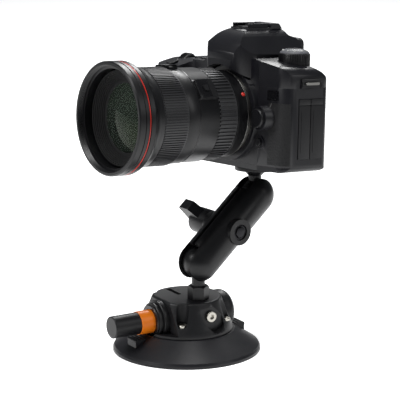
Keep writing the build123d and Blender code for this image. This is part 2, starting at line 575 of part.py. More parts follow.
def hump_block(inset):
    half_top, half_base, half_nose = HUMP_TOP_W / 2, HUMP_BASE_W / 2, HUMP_NOSE_W / 2
    front = outline((-half_base, HUMP_FOOT_Z, 0), (half_base, HUMP_FOOT_Z, 0), (half_base, HUMP_BASE_Z, 8),
                    (half_top, HUMP_TOP_Z, HUMP_EDGE_R), (-half_top, HUMP_TOP_Z, HUMP_EDGE_R),
                    (-half_base, HUMP_BASE_Z, 8))
    side = outline((HUMP_NOSE_Y, HUMP_FOOT_Z, 0), (REAR_Y - 2, HUMP_FOOT_Z, 0), (HUMP_REAR_Y, HUMP_BASE_Z, 2),
                   (HUMP_REAR_Y - 1, HUMP_TOP_Z - 8.5, 4), (REAR_Y - 5, HUMP_TOP_Z - 6, 4),
                   (REAR_Y - 8.5, HUMP_TOP_Z, 3), (HUMP_NOSE_Y + 4, HUMP_TOP_Z, HUMP_BROW_R))
    plan = outline((-half_base, FAR, 0), (-half_nose, HUMP_NOSE_Y, HUMP_NOSE_R),
                   (half_nose, HUMP_NOSE_Y, HUMP_NOSE_R), (half_base, FAR, 0))
    if inset:
        front, side, plan = [offset(face, -inset, kind=Kind.INTERSECTION) for face in (front, side, plan)]
    hump = along_y(front, HUMP_NOSE_Y - 1, HUMP_REAR_Y + 1)
    hump &= along_x(side, -FAR, FAR) & along_z(plan, -FAR, FAR)
    return hump - cyl_y(ARCH_R + inset, HUMP_NOSE_Y - 1, FRONT_Y + inset)


def crest():
    """The low ridge behind the accessory shoe, and the plinth that the shoe is screwed to."""
    (y0, y1), top, half = CREST_Y, HUMP_TOP_Z + CREST_H, SHOE_W / 2 + 1
    face = outline((y0, HUMP_TOP_Z - 1, 0), (y1, HUMP_TOP_Z - 1, 0), (y1 - 3, top, 2.5), (y0 + 1, top, 1))
    plinth = block((-half, half), (SHOE_Y[0] - 1, y0 + 1), (HUMP_TOP_Z - WALL - 1, HUMP_TOP_Z))
    return along_x(face, -half, half) + plinth


def covers():
    """The hollow skin of the whole body, with everything that is cut through it."""
    skin = body_block(0) + hump_block(0) + crest()
    skin += cyl_y(MOUNT_BOSS_R, MOUNT_BOSS_Y, FRONT_Y + 1)
    skin += cyl_y(RELEASE_R + 2, MOUNT_BOSS_Y - 1, FRONT_Y + SWEEP, *RELEASE_AT)
    skin += cyl_y(PREVIEW_R + 2, FRONT_Y, FRONT_Y + SWEEP, *PREVIEW_AT)
    dial_spot = Pos(DIAL_AT[0], DIAL_AT[1], shoulder_z(DIAL_AT[0])) * Rot(Y=SHOULDER_SLOPE)
    skin += dial_spot * cyl_z(DIAL_R + 0.8, -1, DIAL_COLLAR_H)
    skin -= body_block(WALL) + hump_block(WALL)
    skin -= cyl_y(MOUNT_RING_R + DROP_IN, -5, MOUNT_RING_T)
    skin -= cyl_y(MOUNT_THROAT_R, -5, FRONT_Y + WALL + 1)
    skin -= cyl_y(RELEASE_R + RUN, -9, FRONT_Y + SWEEP + WALL, *RELEASE_AT)
    skin -= cyl_y(PREVIEW_R + RUN, -9, FRONT_Y + SWEEP + WALL, *PREVIEW_AT)
    skin -= dial_spot * cyl_z(3 + RUN, -WALL - 2, DIAL_COLLAR_H + 1)
    skin -= port_pocket() + card_slab(DROP_IN) + battery_pocket()
    skin -= screen_pocket() + top_screen_pocket()
    skin -= main_dial_pocket() + SHUTTER * cyl_z(SHUTTER_R + RUN, -9, 9)
    skin -= cyl_y(QUICK_DIAL_R + RUN * 4, REAR_Y - 1, REAR_Y + 9, *QUICK_DIAL_AT)
    skin -= cyl_y(SET_R + RUN, REAR_Y - 9, REAR_Y, *QUICK_DIAL_AT)
    skin -= cyl_y(JOYSTICK_R + RUN, REAR_Y - 9, REAR_Y + 9, *JOYSTICK_AT)
    for x, z in REAR_BUTTONS:
        skin -= cyl_y(BUTTON_R + RUN, REAR_Y - 9, REAR_Y + 9, x, z)
    for x, y in TOP_BUTTONS:
        skin -= cyl_z(BUTTON_R + RUN, GRIP_TOP_Z - 9, GRIP_TOP_Z + 9, x, y)
    skin -= round_block((-9, 9), (REAR_Y - 8, HUMP_REAR_Y + 9), EYE_Z, 2, Axis.Y)
    return skin - cyl_z(SOCKET_R + 0.02, BASE_Z - 1, BASE_Z + WALL + 1, 0, SOCKET_Y)


def front_cover():
    region = block((-FAR, FAR), (-FAR, SEAM_Y), (PLATE_SEAM_Z, DECK_Z))
    return CAMERA * (SKIN & region)


def rear_cover():
    region = block((-FAR, FAR), (SEAM_Y, FAR), (PLATE_SEAM_Z, DECK_Z))
    return CAMERA * (SKIN & region)


def top_cover():
    return CAMERA * (SKIN & block((-FAR, FAR), (-FAR, FAR), (DECK_Z, FAR)))


def bottom_plate():
    return CAMERA * (SKIN & block((-FAR, FAR), (-FAR, FAR), (-FAR, PLATE_SEAM_Z)))


def tripod_socket():
    socket = cyl_z(SOCKET_R, BASE_Z, BASE_Z + SOCKET_L, 0, SOCKET_Y)
    socket += cyl_z(SOCKET_R + 3, BASE_Z + WALL + 0.02, BASE_Z + WALL + 2, 0, SOCKET_Y)
    return CAMERA * (socket - cyl_z(TRIPOD_SCREW_R + RUN, BASE_Z, BASE_Z + SOCKET_L, 0, SOCKET_Y))


def grip_skin():
    """The rubber wrap on the front of the grip."""
    swollen = body_block(-0.8) - body_block(0)
    window = block((GRIP_X - 3, GRIP_INNER_X + 3), (GRIP_FRONT_Y - 3, CARD_DOOR_Y[0] - 1),
                   (PLATE_SEAM_Z + 2, DECK_Z - 2))
    return CAMERA * (swollen & window)


# ---------------------------------------------------------------- camera insides
def lens_mount_ring():
    ring = cyl_y(MOUNT_RING_R, 0, MOUNT_RING_T) - cyl_y(MOUNT_THROAT_R, 0, MOUNT_RING_T)
    for angle in (90, 210, 330):
        x, z = 29.8 * cos(radians(angle)), 29.8 * sin(radians(angle))
        ring -= cyl_y(1.3, -1, 0.6, x, z)
    return CAMERA * ring


def mirror_box():
    w, h, front, rear = MIRROR_BOX_W / 2, MIRROR_BOX_H / 2, FRONT_Y + WALL + 0.05, SENSOR_Y - 1
    wall = MIRROR_BOX_WALL
    frame = block((-w, w), (front, rear), (-h, h))
    frame -= block((-w + wall, w - wall), (front - 1, rear - 1.5), (-h + wall, h - wall))
    frame -= block((-SENSOR_W / 2, SENSOR_W / 2), (front, rear + 1), (-SENSOR_H / 2, SENSOR_H / 2))
    return CAMERA * (frame - block((-w + 5, w - 5), (front + 4, rear - 5), (h - 3, h + 1)))


def image_sensor():
    return CAMERA * block((-SENSOR_W / 2 - 3, SENSOR_W / 2 + 3), (SENSOR_Y, SENSOR_Y + 2.5),
                          (-SENSOR_H / 2 - 3, SENSOR_H / 2 + 3))


def reflex_mirror():
    """Hung from its top rear edge at 45 degrees."""
    plate = block((-MIRROR_W / 2, MIRROR_W / 2), (-MIRROR_L, 0), (-MIRROR_T, 0))
    plate += cyl_x(1.0, -MIRROR_W / 2, MIRROR_W / 2)
    return CAMERA * (Pos(0, MIRROR_HINGE_Y, MIRROR_HINGE_Z) * Rot(X=45) * plate)


def pentaprism():
    low = MIRROR_BOX_H / 2 + 3
    front = FRONT_Y + WALL + 1
    face = outline((front, low, 0), (38, low, 0), (42, low + 14, 0), (42, HUMP_BASE_Z + 14, 0),
                   (30, HUMP_TOP_Z - 6, 0), (front, HUMP_BASE_Z + 4, 0))
    return CAMERA * along_x(face, -PRISM_W / 2, PRISM_W / 2)


def battery():
    x0 = BATTERY_DOOR_X[0] + 1.0
    y0 = BATTERY_DOOR_Y[0] + 2.0
    z0 = BASE_Z + 2.2
    return CAMERA * round_block((x0, x0 + BATTERY_W), (y0, y0 + BATTERY_D), (z0, z0 + BATTERY_H), 2, Axis.Z)


# ---------------------------------------------------------------- camera fittings
def eyecup():
    (low, high), half = EYE_Z, EYECUP_W / 2
    y = (HUMP_REAR_Y - 0.4, HUMP_REAR_Y + EYECUP_L)
    cup = round_block((-half, half), y, (low - 6, high + 4), 5, Axis.Y)
    cup = fillet(cup.faces().sort_by(Axis.Y)[-1].edges(), 2)
    cup -= round_block((-11, 11), (0, 90), (low - 1, high + 1), 3, Axis.Y)
    return CAMERA * (cup - hump_block(0) - body_block(0))


def hot_shoe():
    (y0, y1), floor, half = SHOE_Y, HUMP_TOP_Z + SHOE_FLOOR_T, SHOE_W / 2
    shoe = block((-half, half), (y0, y1), (HUMP_TOP_Z, HUMP_TOP_Z + SHOE_H))
    shoe -= block((-SHOE_FOOT_W / 2, SHOE_FOOT_W / 2), (y0 - 1, y1 - 1.5), (floor, floor + SHOE_FOOT_H))
    return CAMERA * (shoe - block((-SHOE_GAP / 2, SHOE_GAP / 2), (y0 - 1, y1 - 1.5), (floor, FAR)))


def screen_pocket():
    (x, z), w, h = SCREEN_AT, SCREEN_W / 2 + DROP_IN, SCREEN_H / 2 + DROP_IN
    return block((x - w, x + w), (REAR_Y - SCREEN_T, REAR_Y + 9), (z - h, z + h))


def rear_display():
    (x, z), w, h = SCREEN_AT, SCREEN_W / 2, SCREEN_H / 2
    return CAMERA * block((x - w, x + w), (REAR_Y - SCREEN_T, REAR_Y + 0.3), (z - h, z + h))


def top_screen_pocket():
    (x, y), w, l = TOP_SCREEN_AT, TOP_SCREEN_W / 2 + DROP_IN, TOP_SCREEN_L / 2 + DROP_IN
    return block((x - w, x + w), (y - l, y + l), (GRIP_TOP_Z - TOP_SCREEN_T, FAR))


def top_display():
    (x, y), w, l = TOP_SCREEN_AT, TOP_SCREEN_W / 2, TOP_SCREEN_L / 2
    return CAMERA * block((x - w, x + w), (y - l, y + l), (GRIP_TOP_Z - TOP_SCREEN_T, GRIP_TOP_Z + 0.2))


def strap_lugs():
    def lug(side):
        face = PORT_X if side > 0 else GRIP_X
        x = sorted((face + side * 0.02, face + side * 2.6))
        y0, y1, z0, z1 = LUG_SPAN
        bar = round_block(x, (y0, y1), (z0, z1), 0.8, Axis.X)
        return bar - block(sorted((face - side, face + side * 1.3)), (y0 + 2, y1 - 2), (z0 - 1, z1 + 1))
    return CAMERA * Compound(children=[lug(1), lug(-1)])


# ---------------------------------------------------------------- controls
DIAL = Pos(DIAL_AT[0], DIAL_AT[1], shoulder_z(DIAL_AT[0])) * Rot(Y=SHOULDER_SLOPE)
SHUTTER_Z = GRIP_TOP_Z - (FRONT_Y + 4 - SHUTTER_AT[1]) * tan(radians(GRIP_SLOPE))
SHUTTER = Pos(*SHUTTER_AT, SHUTTER_Z) * Rot(X=GRIP_SLOPE)


def mode_dial():
    dial = cyl_z(DIAL_R, DIAL_COLLAR_H + RUN, DIAL_COLLAR_H + DIAL_H)
    dial = fillet(dial.edges().sort_by(Axis.Z)[-1], 0.8)
    return CAMERA * (DIAL * (dial + cyl_z(3, -WALL - 1.5, DIAL_COLLAR_H + 1)))


def main_dial_pocket():
    x, y, z = MAIN_DIAL_AT
    half = MAIN_DIAL_W / 2 + DROP_IN
    return cyl_x(MAIN_DIAL_R + 0.3, x - half, x + half, y, z)


def main_dial():
    x, y, z = MAIN_DIAL_AT
    return CAMERA * cyl_x(MAIN_DIAL_R, x - MAIN_DIAL_W / 2, x + MAIN_DIAL_W / 2, y, z)


def shutter_button():
    cap = cyl_z(SHUTTER_R, -WALL - 0.4, SHUTTER_TRAVEL + 0.6)
    return CAMERA * (SHUTTER * fillet(cap.edges().sort_by(Axis.Z)[-1], 0.7))


def lens_release_button():
    button = cyl_y(RELEASE_R, MOUNT_BOSS_Y - 1 - RELEASE_TRAVEL - 0.6, FRONT_Y + WALL, *RELEASE_AT)
    return CAMERA * fillet(button.edges().sort_by(Axis.Y)[0], 1.0)


def preview_button():
    button = cyl_y(PREVIEW_R, FRONT_Y - PREVIEW_TRAVEL - 0.6, FRONT_Y + WALL, *PREVIEW_AT)
    return CAMERA * fillet(button.edges().sort_by(Axis.Y)[0], 0.5)


def quick_dial():
    x, z = QUICK_DIAL_AT
    dial = cyl_y(QUICK_DIAL_R, REAR_Y - 0.95, REAR_Y + 1.8, x, z)
    dial = fillet(dial.edges().sort_by(Axis.Y)[-1], 0.7)
    return CAMERA * (dial - cyl_y(SET_R + RUN, REAR_Y - 2, REAR_Y + 9, x, z))


def set_button():
    button = cyl_y(SET_R, REAR_Y - WALL - 0.4, REAR_Y + 1.6, *QUICK_DIAL_AT)
    return CAMERA * fillet(button.edges().sort_by(Axis.Y)[-1], 0.5)


def joystick():
    stick = cyl_y(JOYSTICK_R, REAR_Y - WALL - 0.4, REAR_Y + 2.6, *JOYSTICK_AT)
    return CAMERA * fillet(stick.edges().sort_by(Axis.Y)[-1], 0.8)


def rear_buttons():
    def button(point):
        cap = cyl_y(BUTTON_R, REAR_Y - WALL - 0.4, REAR_Y + BUTTON_TRAVEL + 0.3, *point)
        return fillet(cap.edges().sort_by(Axis.Y)[-1], 0.5)
    return CAMERA * ring_of(REAR_BUTTONS, button)


def top_buttons():
    def button(point):
        cap = cyl_z(BUTTON_R, GRIP_TOP_Z - WALL - 0.4, GRIP_TOP_Z + BUTTON_TRAVEL + 0.3, *point)
        return fillet(cap.edges().sort_by(Axis.Z)[-1], 0.5)
    return CAMERA * ring_of(TOP_BUTTONS, button)


# ---------------------------------------------------------------- doors
def port_door(y0, y1, grow=0.0):
    x = (PORT_X + DOOR_PROUD - DOOR_T - grow, PORT_X + DOOR_PROUD + grow)
    return block(x, (y0 - grow, y1 + grow), (PORT_DOOR_Z[0] - grow, PORT_DOOR_Z[1] + grow))


def port_pocket():
    return port_door(PORT_DOOR_Y[0], PORT_DOOR_Y[2], DROP_IN)


def port_door_front():
    return CAMERA * port_door(PORT_DOOR_Y[0], PORT_DOOR_Y[1] - DROP_IN)


def port_door_rear():
    return CAMERA * port_door(PORT_DOOR_Y[1] + DROP_IN, PORT_DOOR_Y[2])


def card_slab(grow=0.0):
    x = (GRIP_X - DOOR_PROUD - grow, GRIP_X - DOOR_PROUD + DOOR_T + grow)
    (y0, y1), (z0, z1) = CARD_DOOR_Y, CARD_DOOR_Z
    return block(x, (y0 - grow, y1 + grow), (z0 - grow, z1 + grow))


def card_door():
    return CAMERA * card_slab()


def battery_slab(grow=0.0):
    (x0, x1), (y0, y1) = BATTERY_DOOR_X, BATTERY_DOOR_Y
    z = (BASE_Z - DOOR_PROUD / 2 - grow, BASE_Z - DOOR_PROUD / 2 + DOOR_T + grow)
    return block((x0 - grow, x1 + grow), (y0 - grow, y1 + grow), z)


def battery_pocket():
    (x0, x1), (y0, y1) = BATTERY_DOOR_X, BATTERY_DOOR_Y
    throat = block((x0 + 1, x1 - 1), (y0 + 1, y1 - 1), (BASE_Z, BASE_Z + WALL + 1))
    return battery_slab(DROP_IN) + throat


def battery_door():
    return CAMERA * battery_slab()


# ---------------------------------------------------------------- lens
def lens_barrel():
    seat_zoom, seat_focus = ZOOM_R - RING_SEAT_DEEP, FOCUS_R - RING_SEAT_DEEP
    (focus_front, focus_rear), (zoom_front, zoom_rear) = FOCUS_Y, ZOOM_Y
    barrel = lathe_y((BARREL_BORE_R, -0.05), (MOUNT_END_R - 1.5, -0.05), (MOUNT_END_R, -1.5),
                     (MOUNT_END_R, -6), (ZOOM_R - 0.8, zoom_rear), (seat_zoom, zoom_rear),
                     (seat_zoom, zoom_front),
                     (FIXED_R, zoom_front), (FIXED_R, COLLAR_Y), (COLLAR_R, COLLAR_Y), (COLLAR_R, focus_rear),
                     (seat_focus, focus_rear), (seat_focus, focus_front), (FOCUS_R + 0.6, focus_front),
                     (FOCUS_R + 1.6, focus_front - 6), (TRIM_R - 0.6, TRIM_REAR_Y),
                     (FRONT_BORE_R, TRIM_REAR_Y), (FRONT_BORE_R, FRONT_BORE_Y), (BARREL_BORE_R, FRONT_BORE_Y))
    panel = block((-PANEL_W / 2, PANEL_W / 2), (COLLAR_Y + 1, zoom_front - 1),
                  (FIXED_R - 3, FIXED_R + PANEL_T))
    panel = fillet(panel.edges().filter_by(Axis.Z), 1.5)
    barrel += Rot(Y=PANEL_ANGLE) * panel
    bayonet = lathe_y((BARREL_BORE_R, -0.05), (MOUNT_THROAT_R - 0.6, -0.05), (MOUNT_THROAT_R - 0.6, 4.5),
                      (BARREL_BORE_R - 2, 4.5), (BARREL_BORE_R - 2, -4), (BARREL_BORE_R, -4))
    half_w, half_l = SWITCH_W / 2 + DROP_IN, SWITCH_L / 2 + DROP_IN
    track = block((-half_w - SWITCH_TRAVEL, half_w), (SWITCH_Y - half_l, SWITCH_Y + half_l),
                  (FIXED_R + PANEL_T - 1, FAR))
    return CAMERA * (barrel + bayonet - Rot(Y=PANEL_ANGLE) * track)


SWITCH_Y = COLLAR_Y + 8.5


def af_switch():
    top = FIXED_R + PANEL_T
    switch = block((-SWITCH_W / 2, SWITCH_W / 2), (SWITCH_Y - SWITCH_L / 2, SWITCH_Y + SWITCH_L / 2),
                   (top - 1 + 0.05, top + SWITCH_H))
    return CAMERA * (Rot(Y=PANEL_ANGLE) * switch)


def turning_ring(r, bore_r, span, end_gap=0.15, edge=0.5):
    front, rear = span[0] + end_gap, span[1] - end_gap
    return CAMERA * lathe_y((bore_r, front), (r - edge, front), (r, front + edge), (r, rear - edge),
                            (r - edge, rear), (bore_r, rear))


def zoom_ring():
    return turning_ring(ZOOM_R, ZOOM_R - RING_SEAT_DEEP + RUN, ZOOM_Y)


def focus_ring():
    return turning_ring(FOCUS_R, FOCUS_R - RING_SEAT_DEEP + RUN, FOCUS_Y)


def front_trim():
    return CAMERA * lathe_y((TRIM_BORE_R, TRIM_REAR_Y), (TRIM_R, TRIM_REAR_Y), (TRIM_R, LENS_FRONT_Y + 1.2),
                            (TRIM_R - 1.2, LENS_FRONT_Y), (FILTER_R, LENS_FRONT_Y),
                            (FILTER_R, LENS_FRONT_Y + FILTER_L), (TRIM_BORE_R, LENS_FRONT_Y + FILTER_L))


def inner_barrel():
    """The black funnel round the front glass, which moves as the lens zooms."""
    front, rear = LENS_FRONT_Y + FILTER_L + 2 + GROUP_TRAVEL, FRONT_BORE_Y - 1
    return CAMERA * lathe_y((GLASS_R, rear), (GROUP_R, rear), (GROUP_R, front), (GROUP_R - 1.5, front),
                            (GLASS_R + 2.5, rear - 5), (GLASS_R, rear - 5))


def front_element():
    rim_front, rear = FRONT_BORE_Y - GLASS_T, FRONT_BORE_Y - 1
    crown = rim_front - GLASS_CROWN
    r = GLASS_R - 0.02
    with BuildSketch() as section:
        with BuildLine():
            ThreePointArc((0, crown), (r * 0.5, rim_front - GLASS_CROWN * 0.76), (r, rim_front))
            Polyline((r, rim_front), (r, rear), (0, rear), (0, crown))
        make_face()
    return CAMERA * revolve(section.sketch, Axis.Y)


# ---------------------------------------------------------------- write every sub-part
SKIN = covers()
SUB_PARTS = [
    suction_cup, cup_plate, check_valve, base_housing, housing_screws, side_screws,
    pump_cylinder, pump_spring, pump_knob, indicator_band, piston_rod, piston_seal,
    lower_ball_stud, arm_near_half, arm_bolt, clamp_spring, arm_far_half, wing_knob, knob_nut,
    upper_ball_stud, camera_pad, tripod_screw,
    front_cover, rear_cover, top_cover, bottom_plate, tripod_socket, grip_skin, lens_mount_ring, mirror_box,
    image_sensor, reflex_mirror, pentaprism, battery, eyecup, hot_shoe, rear_display, top_display, strap_lugs,
    mode_dial, main_dial, shutter_button, lens_release_button, preview_button, quick_dial, set_button,
    joystick, rear_buttons, top_buttons, port_door_front, port_door_rear, card_door, battery_door,
    lens_barrel, zoom_ring, focus_ring, af_switch, front_trim, inner_barrel, front_element,
]

os.makedirs("parts", exist_ok=True)
for sub_part in SUB_PARTS:
    export_step(sub_part(), f"parts/{sub_part.__name__}.step")
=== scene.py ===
import json
from math import radians, sin, cos, pi, atan2, sqrt, floor

import bpy
import bmesh
from mathutils import Matrix, Vector


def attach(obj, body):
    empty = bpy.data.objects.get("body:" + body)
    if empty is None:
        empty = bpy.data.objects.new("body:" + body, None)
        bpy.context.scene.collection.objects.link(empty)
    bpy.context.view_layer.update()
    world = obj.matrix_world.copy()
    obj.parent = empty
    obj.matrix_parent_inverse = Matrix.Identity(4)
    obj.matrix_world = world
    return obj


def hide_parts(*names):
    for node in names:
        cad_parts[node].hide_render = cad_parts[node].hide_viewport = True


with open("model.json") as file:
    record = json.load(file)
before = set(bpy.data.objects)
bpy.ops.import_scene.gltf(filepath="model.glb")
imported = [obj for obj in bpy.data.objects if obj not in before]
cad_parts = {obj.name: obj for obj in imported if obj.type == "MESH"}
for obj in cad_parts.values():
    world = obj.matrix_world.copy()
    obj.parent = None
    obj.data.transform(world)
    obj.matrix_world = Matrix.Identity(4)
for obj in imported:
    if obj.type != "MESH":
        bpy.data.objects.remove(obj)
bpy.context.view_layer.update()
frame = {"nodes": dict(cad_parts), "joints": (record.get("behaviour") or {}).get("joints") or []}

# A reflex camera on a double-ball clamp arm, held by a hand-pumped vacuum cup.
# Pieces are modelled in millimetres in a frame of their own and set down in metres where the CAD has them.

MM = 0.001
JOINTS = {joint["name"]: joint for joint in frame["joints"]}


def axis_of(joint):
    return Vector(JOINTS[joint]["axis"]).normalized()


def place_of(joint):
    return Vector(JOINTS[joint]["pos_m"])


def frame_from(x_axis, z_axis, origin):
    """The matrix of a piece's own frame, from millimetres there to metres in the frame."""
    x_axis, z_axis = x_axis.normalized(), z_axis.normalized()
    y_axis = z_axis.cross(x_axis).normalized()
    turn = Matrix((x_axis, y_axis, x_axis.cross(y_axis))).transposed().to_4x4()
    return Matrix.Translation(origin) @ turn @ Matrix.Scale(MM, 4)


LENS_BACK = axis_of("focus_turn")            # from the lens to the camera
CAMERA_UP = axis_of("camera_pan")
BASE = Matrix.Scale(MM, 4)
CAMERA = frame_from(LENS_BACK.cross(CAMERA_UP), CAMERA_UP, place_of("focus_turn"))
ARM = frame_from(axis_of("arm_tilt"), place_of("camera_tilt") - place_of("arm_tilt"), place_of("knob_turn"))

# ---------------------------------------------------------------- view and light
VIEW_AZIMUTH, VIEW_ELEVATION = 58.9, 14.0
VIEW_DISTANCE = 1.944
VIEW_ASIDE, VIEW_HEIGHT = 0.0108, 0.1221      # what the camera looks at, to the right of the cup and up
VIEW_LENS, SENSOR = 220.95, 36.0
LIGHT_TARGET_Z = 0.13      # what the lights face, m above the floor
FLOOR_SIZE = 6             # m
WORLD_LIGHT = 0.16
FLOOR_GLOW = 0.42


def view_frame():
    az, el = radians(VIEW_AZIMUTH), radians(VIEW_ELEVATION)
    right = Vector((cos(az), sin(az), 0))
    back = Vector((sin(az) * cos(el), -cos(az) * cos(el), sin(el)))
    return right, back


def set_camera():
    right, back = view_frame()
    target = right * VIEW_ASIDE + Vector((0, 0, VIEW_HEIGHT))
    data = bpy.data.cameras.new("view")
    data.lens, data.sensor_width, data.sensor_height = VIEW_LENS, SENSOR, SENSOR
    camera = bpy.data.objects.new("view", data)
    bpy.context.scene.collection.objects.link(camera)
    camera.location = target + back * VIEW_DISTANCE
    camera.rotation_euler = back.to_track_quat("Z", "Y").to_euler()
    bpy.context.scene.camera = camera


def softbox(name, azimuth, elevation, distance, width, height, watts, colour="#FFFFFF"):
    """A soft rectangular light that faces the middle of the object."""
    az, el = radians(azimuth), radians(elevation)
    away = Vector((sin(az) * cos(el), -cos(az) * cos(el), sin(el)))
    data = bpy.data.lights.new(name, "AREA")
    data.shape, data.size, data.size_y = "RECTANGLE", width, height
    data.energy, data.color = watts, linear(colour)[:3]
    light = bpy.data.objects.new(name, data)
    bpy.context.scene.collection.objects.link(light)
    light.location = away * distance + Vector((0, 0, LIGHT_TARGET_Z))
    light.rotation_euler = away.to_track_quat("Z", "Y").to_euler()


def set_lights():
    softbox("key_left", -6, 46, 1.4, 0.45, 0.60, 15)
    softbox("fill_right", 124, 34, 1.6, 0.25, 0.90, 4)
    softbox("overhead", 62, 84, 1.5, 0.55, 0.55, 15)
    softbox("rim_behind", 228, 42, 1.6, 0.60, 0.50, 14)


def set_world():
    world = bpy.data.worlds.new("studio")
    world.use_nodes = True
    tree = world.node_tree
    tree.nodes.clear()
    seen = add(tree, "ShaderNodeBackground", Color=linear("#FFFFFF"), Strength=1.0)
    lit = add(tree, "ShaderNodeBackground", Color=linear("#E8ECF2"), Strength=WORLD_LIGHT)
    path = add(tree, "ShaderNodeLightPath")
    mix = add(tree, "ShaderNodeMixShader", Fac=path.outputs["Is Camera Ray"])
    tree.links.new(lit.outputs[0], mix.inputs[1])
    tree.links.new(seen.outputs[0], mix.inputs[2])
    out = add(tree, "ShaderNodeOutputWorld")
    tree.links.new(mix.outputs[0], out.inputs["Surface"])
    bpy.context.scene.world = world
    bpy.context.scene.view_settings.view_transform = "Standard"


def set_floor():
    bpy.ops.mesh.primitive_plane_add(size=FLOOR_SIZE, location=(0, 0, 0))
    paper = bpy.context.object
    paper.name = "floor"
    paper.data.materials.append(paper_white())


# ---------------------------------------------------------------- material tools
def linear(code):
    """An sRGB hex colour as a linear RGBA tuple."""
    parts = [int(code[i:i + 2], 16) / 255 for i in (1, 3, 5)]
    return tuple(c / 12.92 if c <= 0.04045 else ((c + 0.055) / 1.055) ** 2.4 for c in parts) + (1.0,)


def add(tree, kind, **settings):
    """A node with its settings. An input is named with _ for a space, and an output given to it is linked."""
    node = tree.nodes.new(kind)
    for key, value in settings.items():
        socket = node.inputs.get(key.replace("_", " "))
        if socket is None:
            setattr(node, key, value)
        elif isinstance(value, bpy.types.NodeSocket):
            tree.links.new(value, socket)
        else:
            socket.default_value = value
    return node


def new_material(name):
    """An empty material with its output; returns the material and its tree."""
    material = bpy.data.materials.new(name)
    material.use_nodes = True
    material.node_tree.nodes.clear()
    return material, material.node_tree


def finish_material(tree, shader):
    out = add(tree, "ShaderNodeOutputMaterial")
    tree.links.new(shader.outputs[0], out.inputs["Surface"])


CLOUD_SIZE = 14            # mm, the slow change of tone over a moulded or painted face


def per_mm(size):
    """Noise scale for features of this size in millimetres, on coordinates in metres."""
    return 1.0 / (size * MM)


def grained(name, colour, roughness, grain, depth, vary=0.12, rough_vary=0.06, kind="noise", shine=0.32,
            **shader):
    """A moulded, painted or coated surface.

    It has fine relief, grain mm wide and depth mm deep, and its colour and gloss vary a little.
    """
    material, tree = new_material(name)
    place = add(tree, "ShaderNodeTexCoord").outputs["Object"]
    cloud = add(tree, "ShaderNodeTexNoise", Vector=place, Scale=per_mm(CLOUD_SIZE), Detail=3.0)
    tone = add(tree, "ShaderNodeMix", data_type="RGBA", blend_type="MULTIPLY")
    tone.inputs[0].default_value = vary
    tone.inputs[6].default_value = linear(colour)
    tree.links.new(cloud.outputs["Color"], tone.inputs[7])
    gloss = add(tree, "ShaderNodeMapRange", Value=cloud.outputs["Fac"], To_Min=roughness - rough_vary,
                To_Max=roughness + rough_vary)
    if kind == "pebble":
        cells = add(tree, "ShaderNodeTexVoronoi", Vector=place, Scale=per_mm(grain), feature="SMOOTH_F1")
        relief = cells.outputs["Distance"]
    else:
        fine = add(tree, "ShaderNodeTexNoise", Vector=place, Scale=per_mm(grain), Detail=2.0)
        relief = fine.outputs["Fac"]
    bump = add(tree, "ShaderNodeBump", Height=relief, Strength=1.0, Distance=depth * MM)
    surface = add(tree, "ShaderNodeBsdfPrincipled", Base_Color=tone.outputs[2], Roughness=gloss.outputs[0],
                  Normal=bump.outputs[0], Specular_IOR_Level=shine, **shader)
    finish_material(tree, surface)
    return material


def metal(name, colour, roughness, brush=0.25, depth=0.002, **shader):
    """Bare metal with fine tool marks of the given pitch in mm."""
    material, tree = new_material(name)
    place = add(tree, "ShaderNodeTexCoord").outputs["Object"]
    marks = add(tree, "ShaderNodeTexNoise", Vector=place, Scale=per_mm(brush), Detail=4.0)
    gloss = add(tree, "ShaderNodeMapRange", Value=marks.outputs["Fac"], To_Min=roughness * 0.7,
                To_Max=roughness * 1.3)
    bump = add(tree, "ShaderNodeBump", Height=marks.outputs["Fac"], Strength=1.0, Distance=depth * MM)
    surface = add(tree, "ShaderNodeBsdfPrincipled", Base_Color=linear(colour), Metallic=1.0,
                  Roughness=gloss.outputs[0], Normal=bump.outputs[0], **shader)
    finish_material(tree, surface)
    return material


# ---------------------------------------------------------------- the finishes
def paper_white():
    """Matt white paper under the object, lit a little from below as a light table is."""
    return grained("studio_paper", "#FFFFFF", 0.9, 1.5, 0.01, vary=0.0, Emission_Color=linear("#FFFFFF"),
                   Emission_Strength=FLOOR_GLOW)


def clear_glass():
    """Multi-coated crown glass: clear, with a weak yellow-green reflection, so the dark inside shows."""
    material, tree = new_material("multi_coated_front_glass")
    surface = add(tree, "ShaderNodeBsdfPrincipled", Base_Color=linear("#7E8C80"), Roughness=0.02, IOR=1.18,
                  Transmission_Weight=0.95, Specular_IOR_Level=0.12, Specular_Tint=linear("#CFE6A0"))
    finish_material(tree, surface)
    return material


def coated_glass():
    """The coated glass further in: nearly black, its reflection yellow-green, and a purple edge reflection
    painted into its base colour.
    """
    material, tree = new_material("coated_inner_glass")
    place = add(tree, "ShaderNodeTexCoord").outputs["Object"]
    cloud = add(tree, "ShaderNodeTexNoise", Vector=place, Scale=per_mm(20), Detail=1.0)
    # Painted reflection: towards the edge the base colour turns from green black to purple, as the coating's
    # reflection does.
    rim = add(tree, "ShaderNodeLayerWeight", Blend=0.35)
    painted_edge_reflection = add(tree, "ShaderNodeMix", data_type="RGBA")
    tree.links.new(rim.outputs["Facing"], painted_edge_reflection.inputs[0])
    painted_edge_reflection.inputs[6].default_value = linear("#060A05")
    painted_edge_reflection.inputs[7].default_value = linear("#0B060E")
    gloss = add(tree, "ShaderNodeMapRange", Value=cloud.outputs["Fac"], To_Min=0.03, To_Max=0.06)
    surface = add(tree, "ShaderNodeBsdfPrincipled", Base_Color=painted_edge_reflection.outputs[2], Roughness=gloss.outputs[0],
                  IOR=1.32, Specular_Tint=linear("#C8E070"))
    finish_material(tree, surface)
    return material


FINISHES = {}


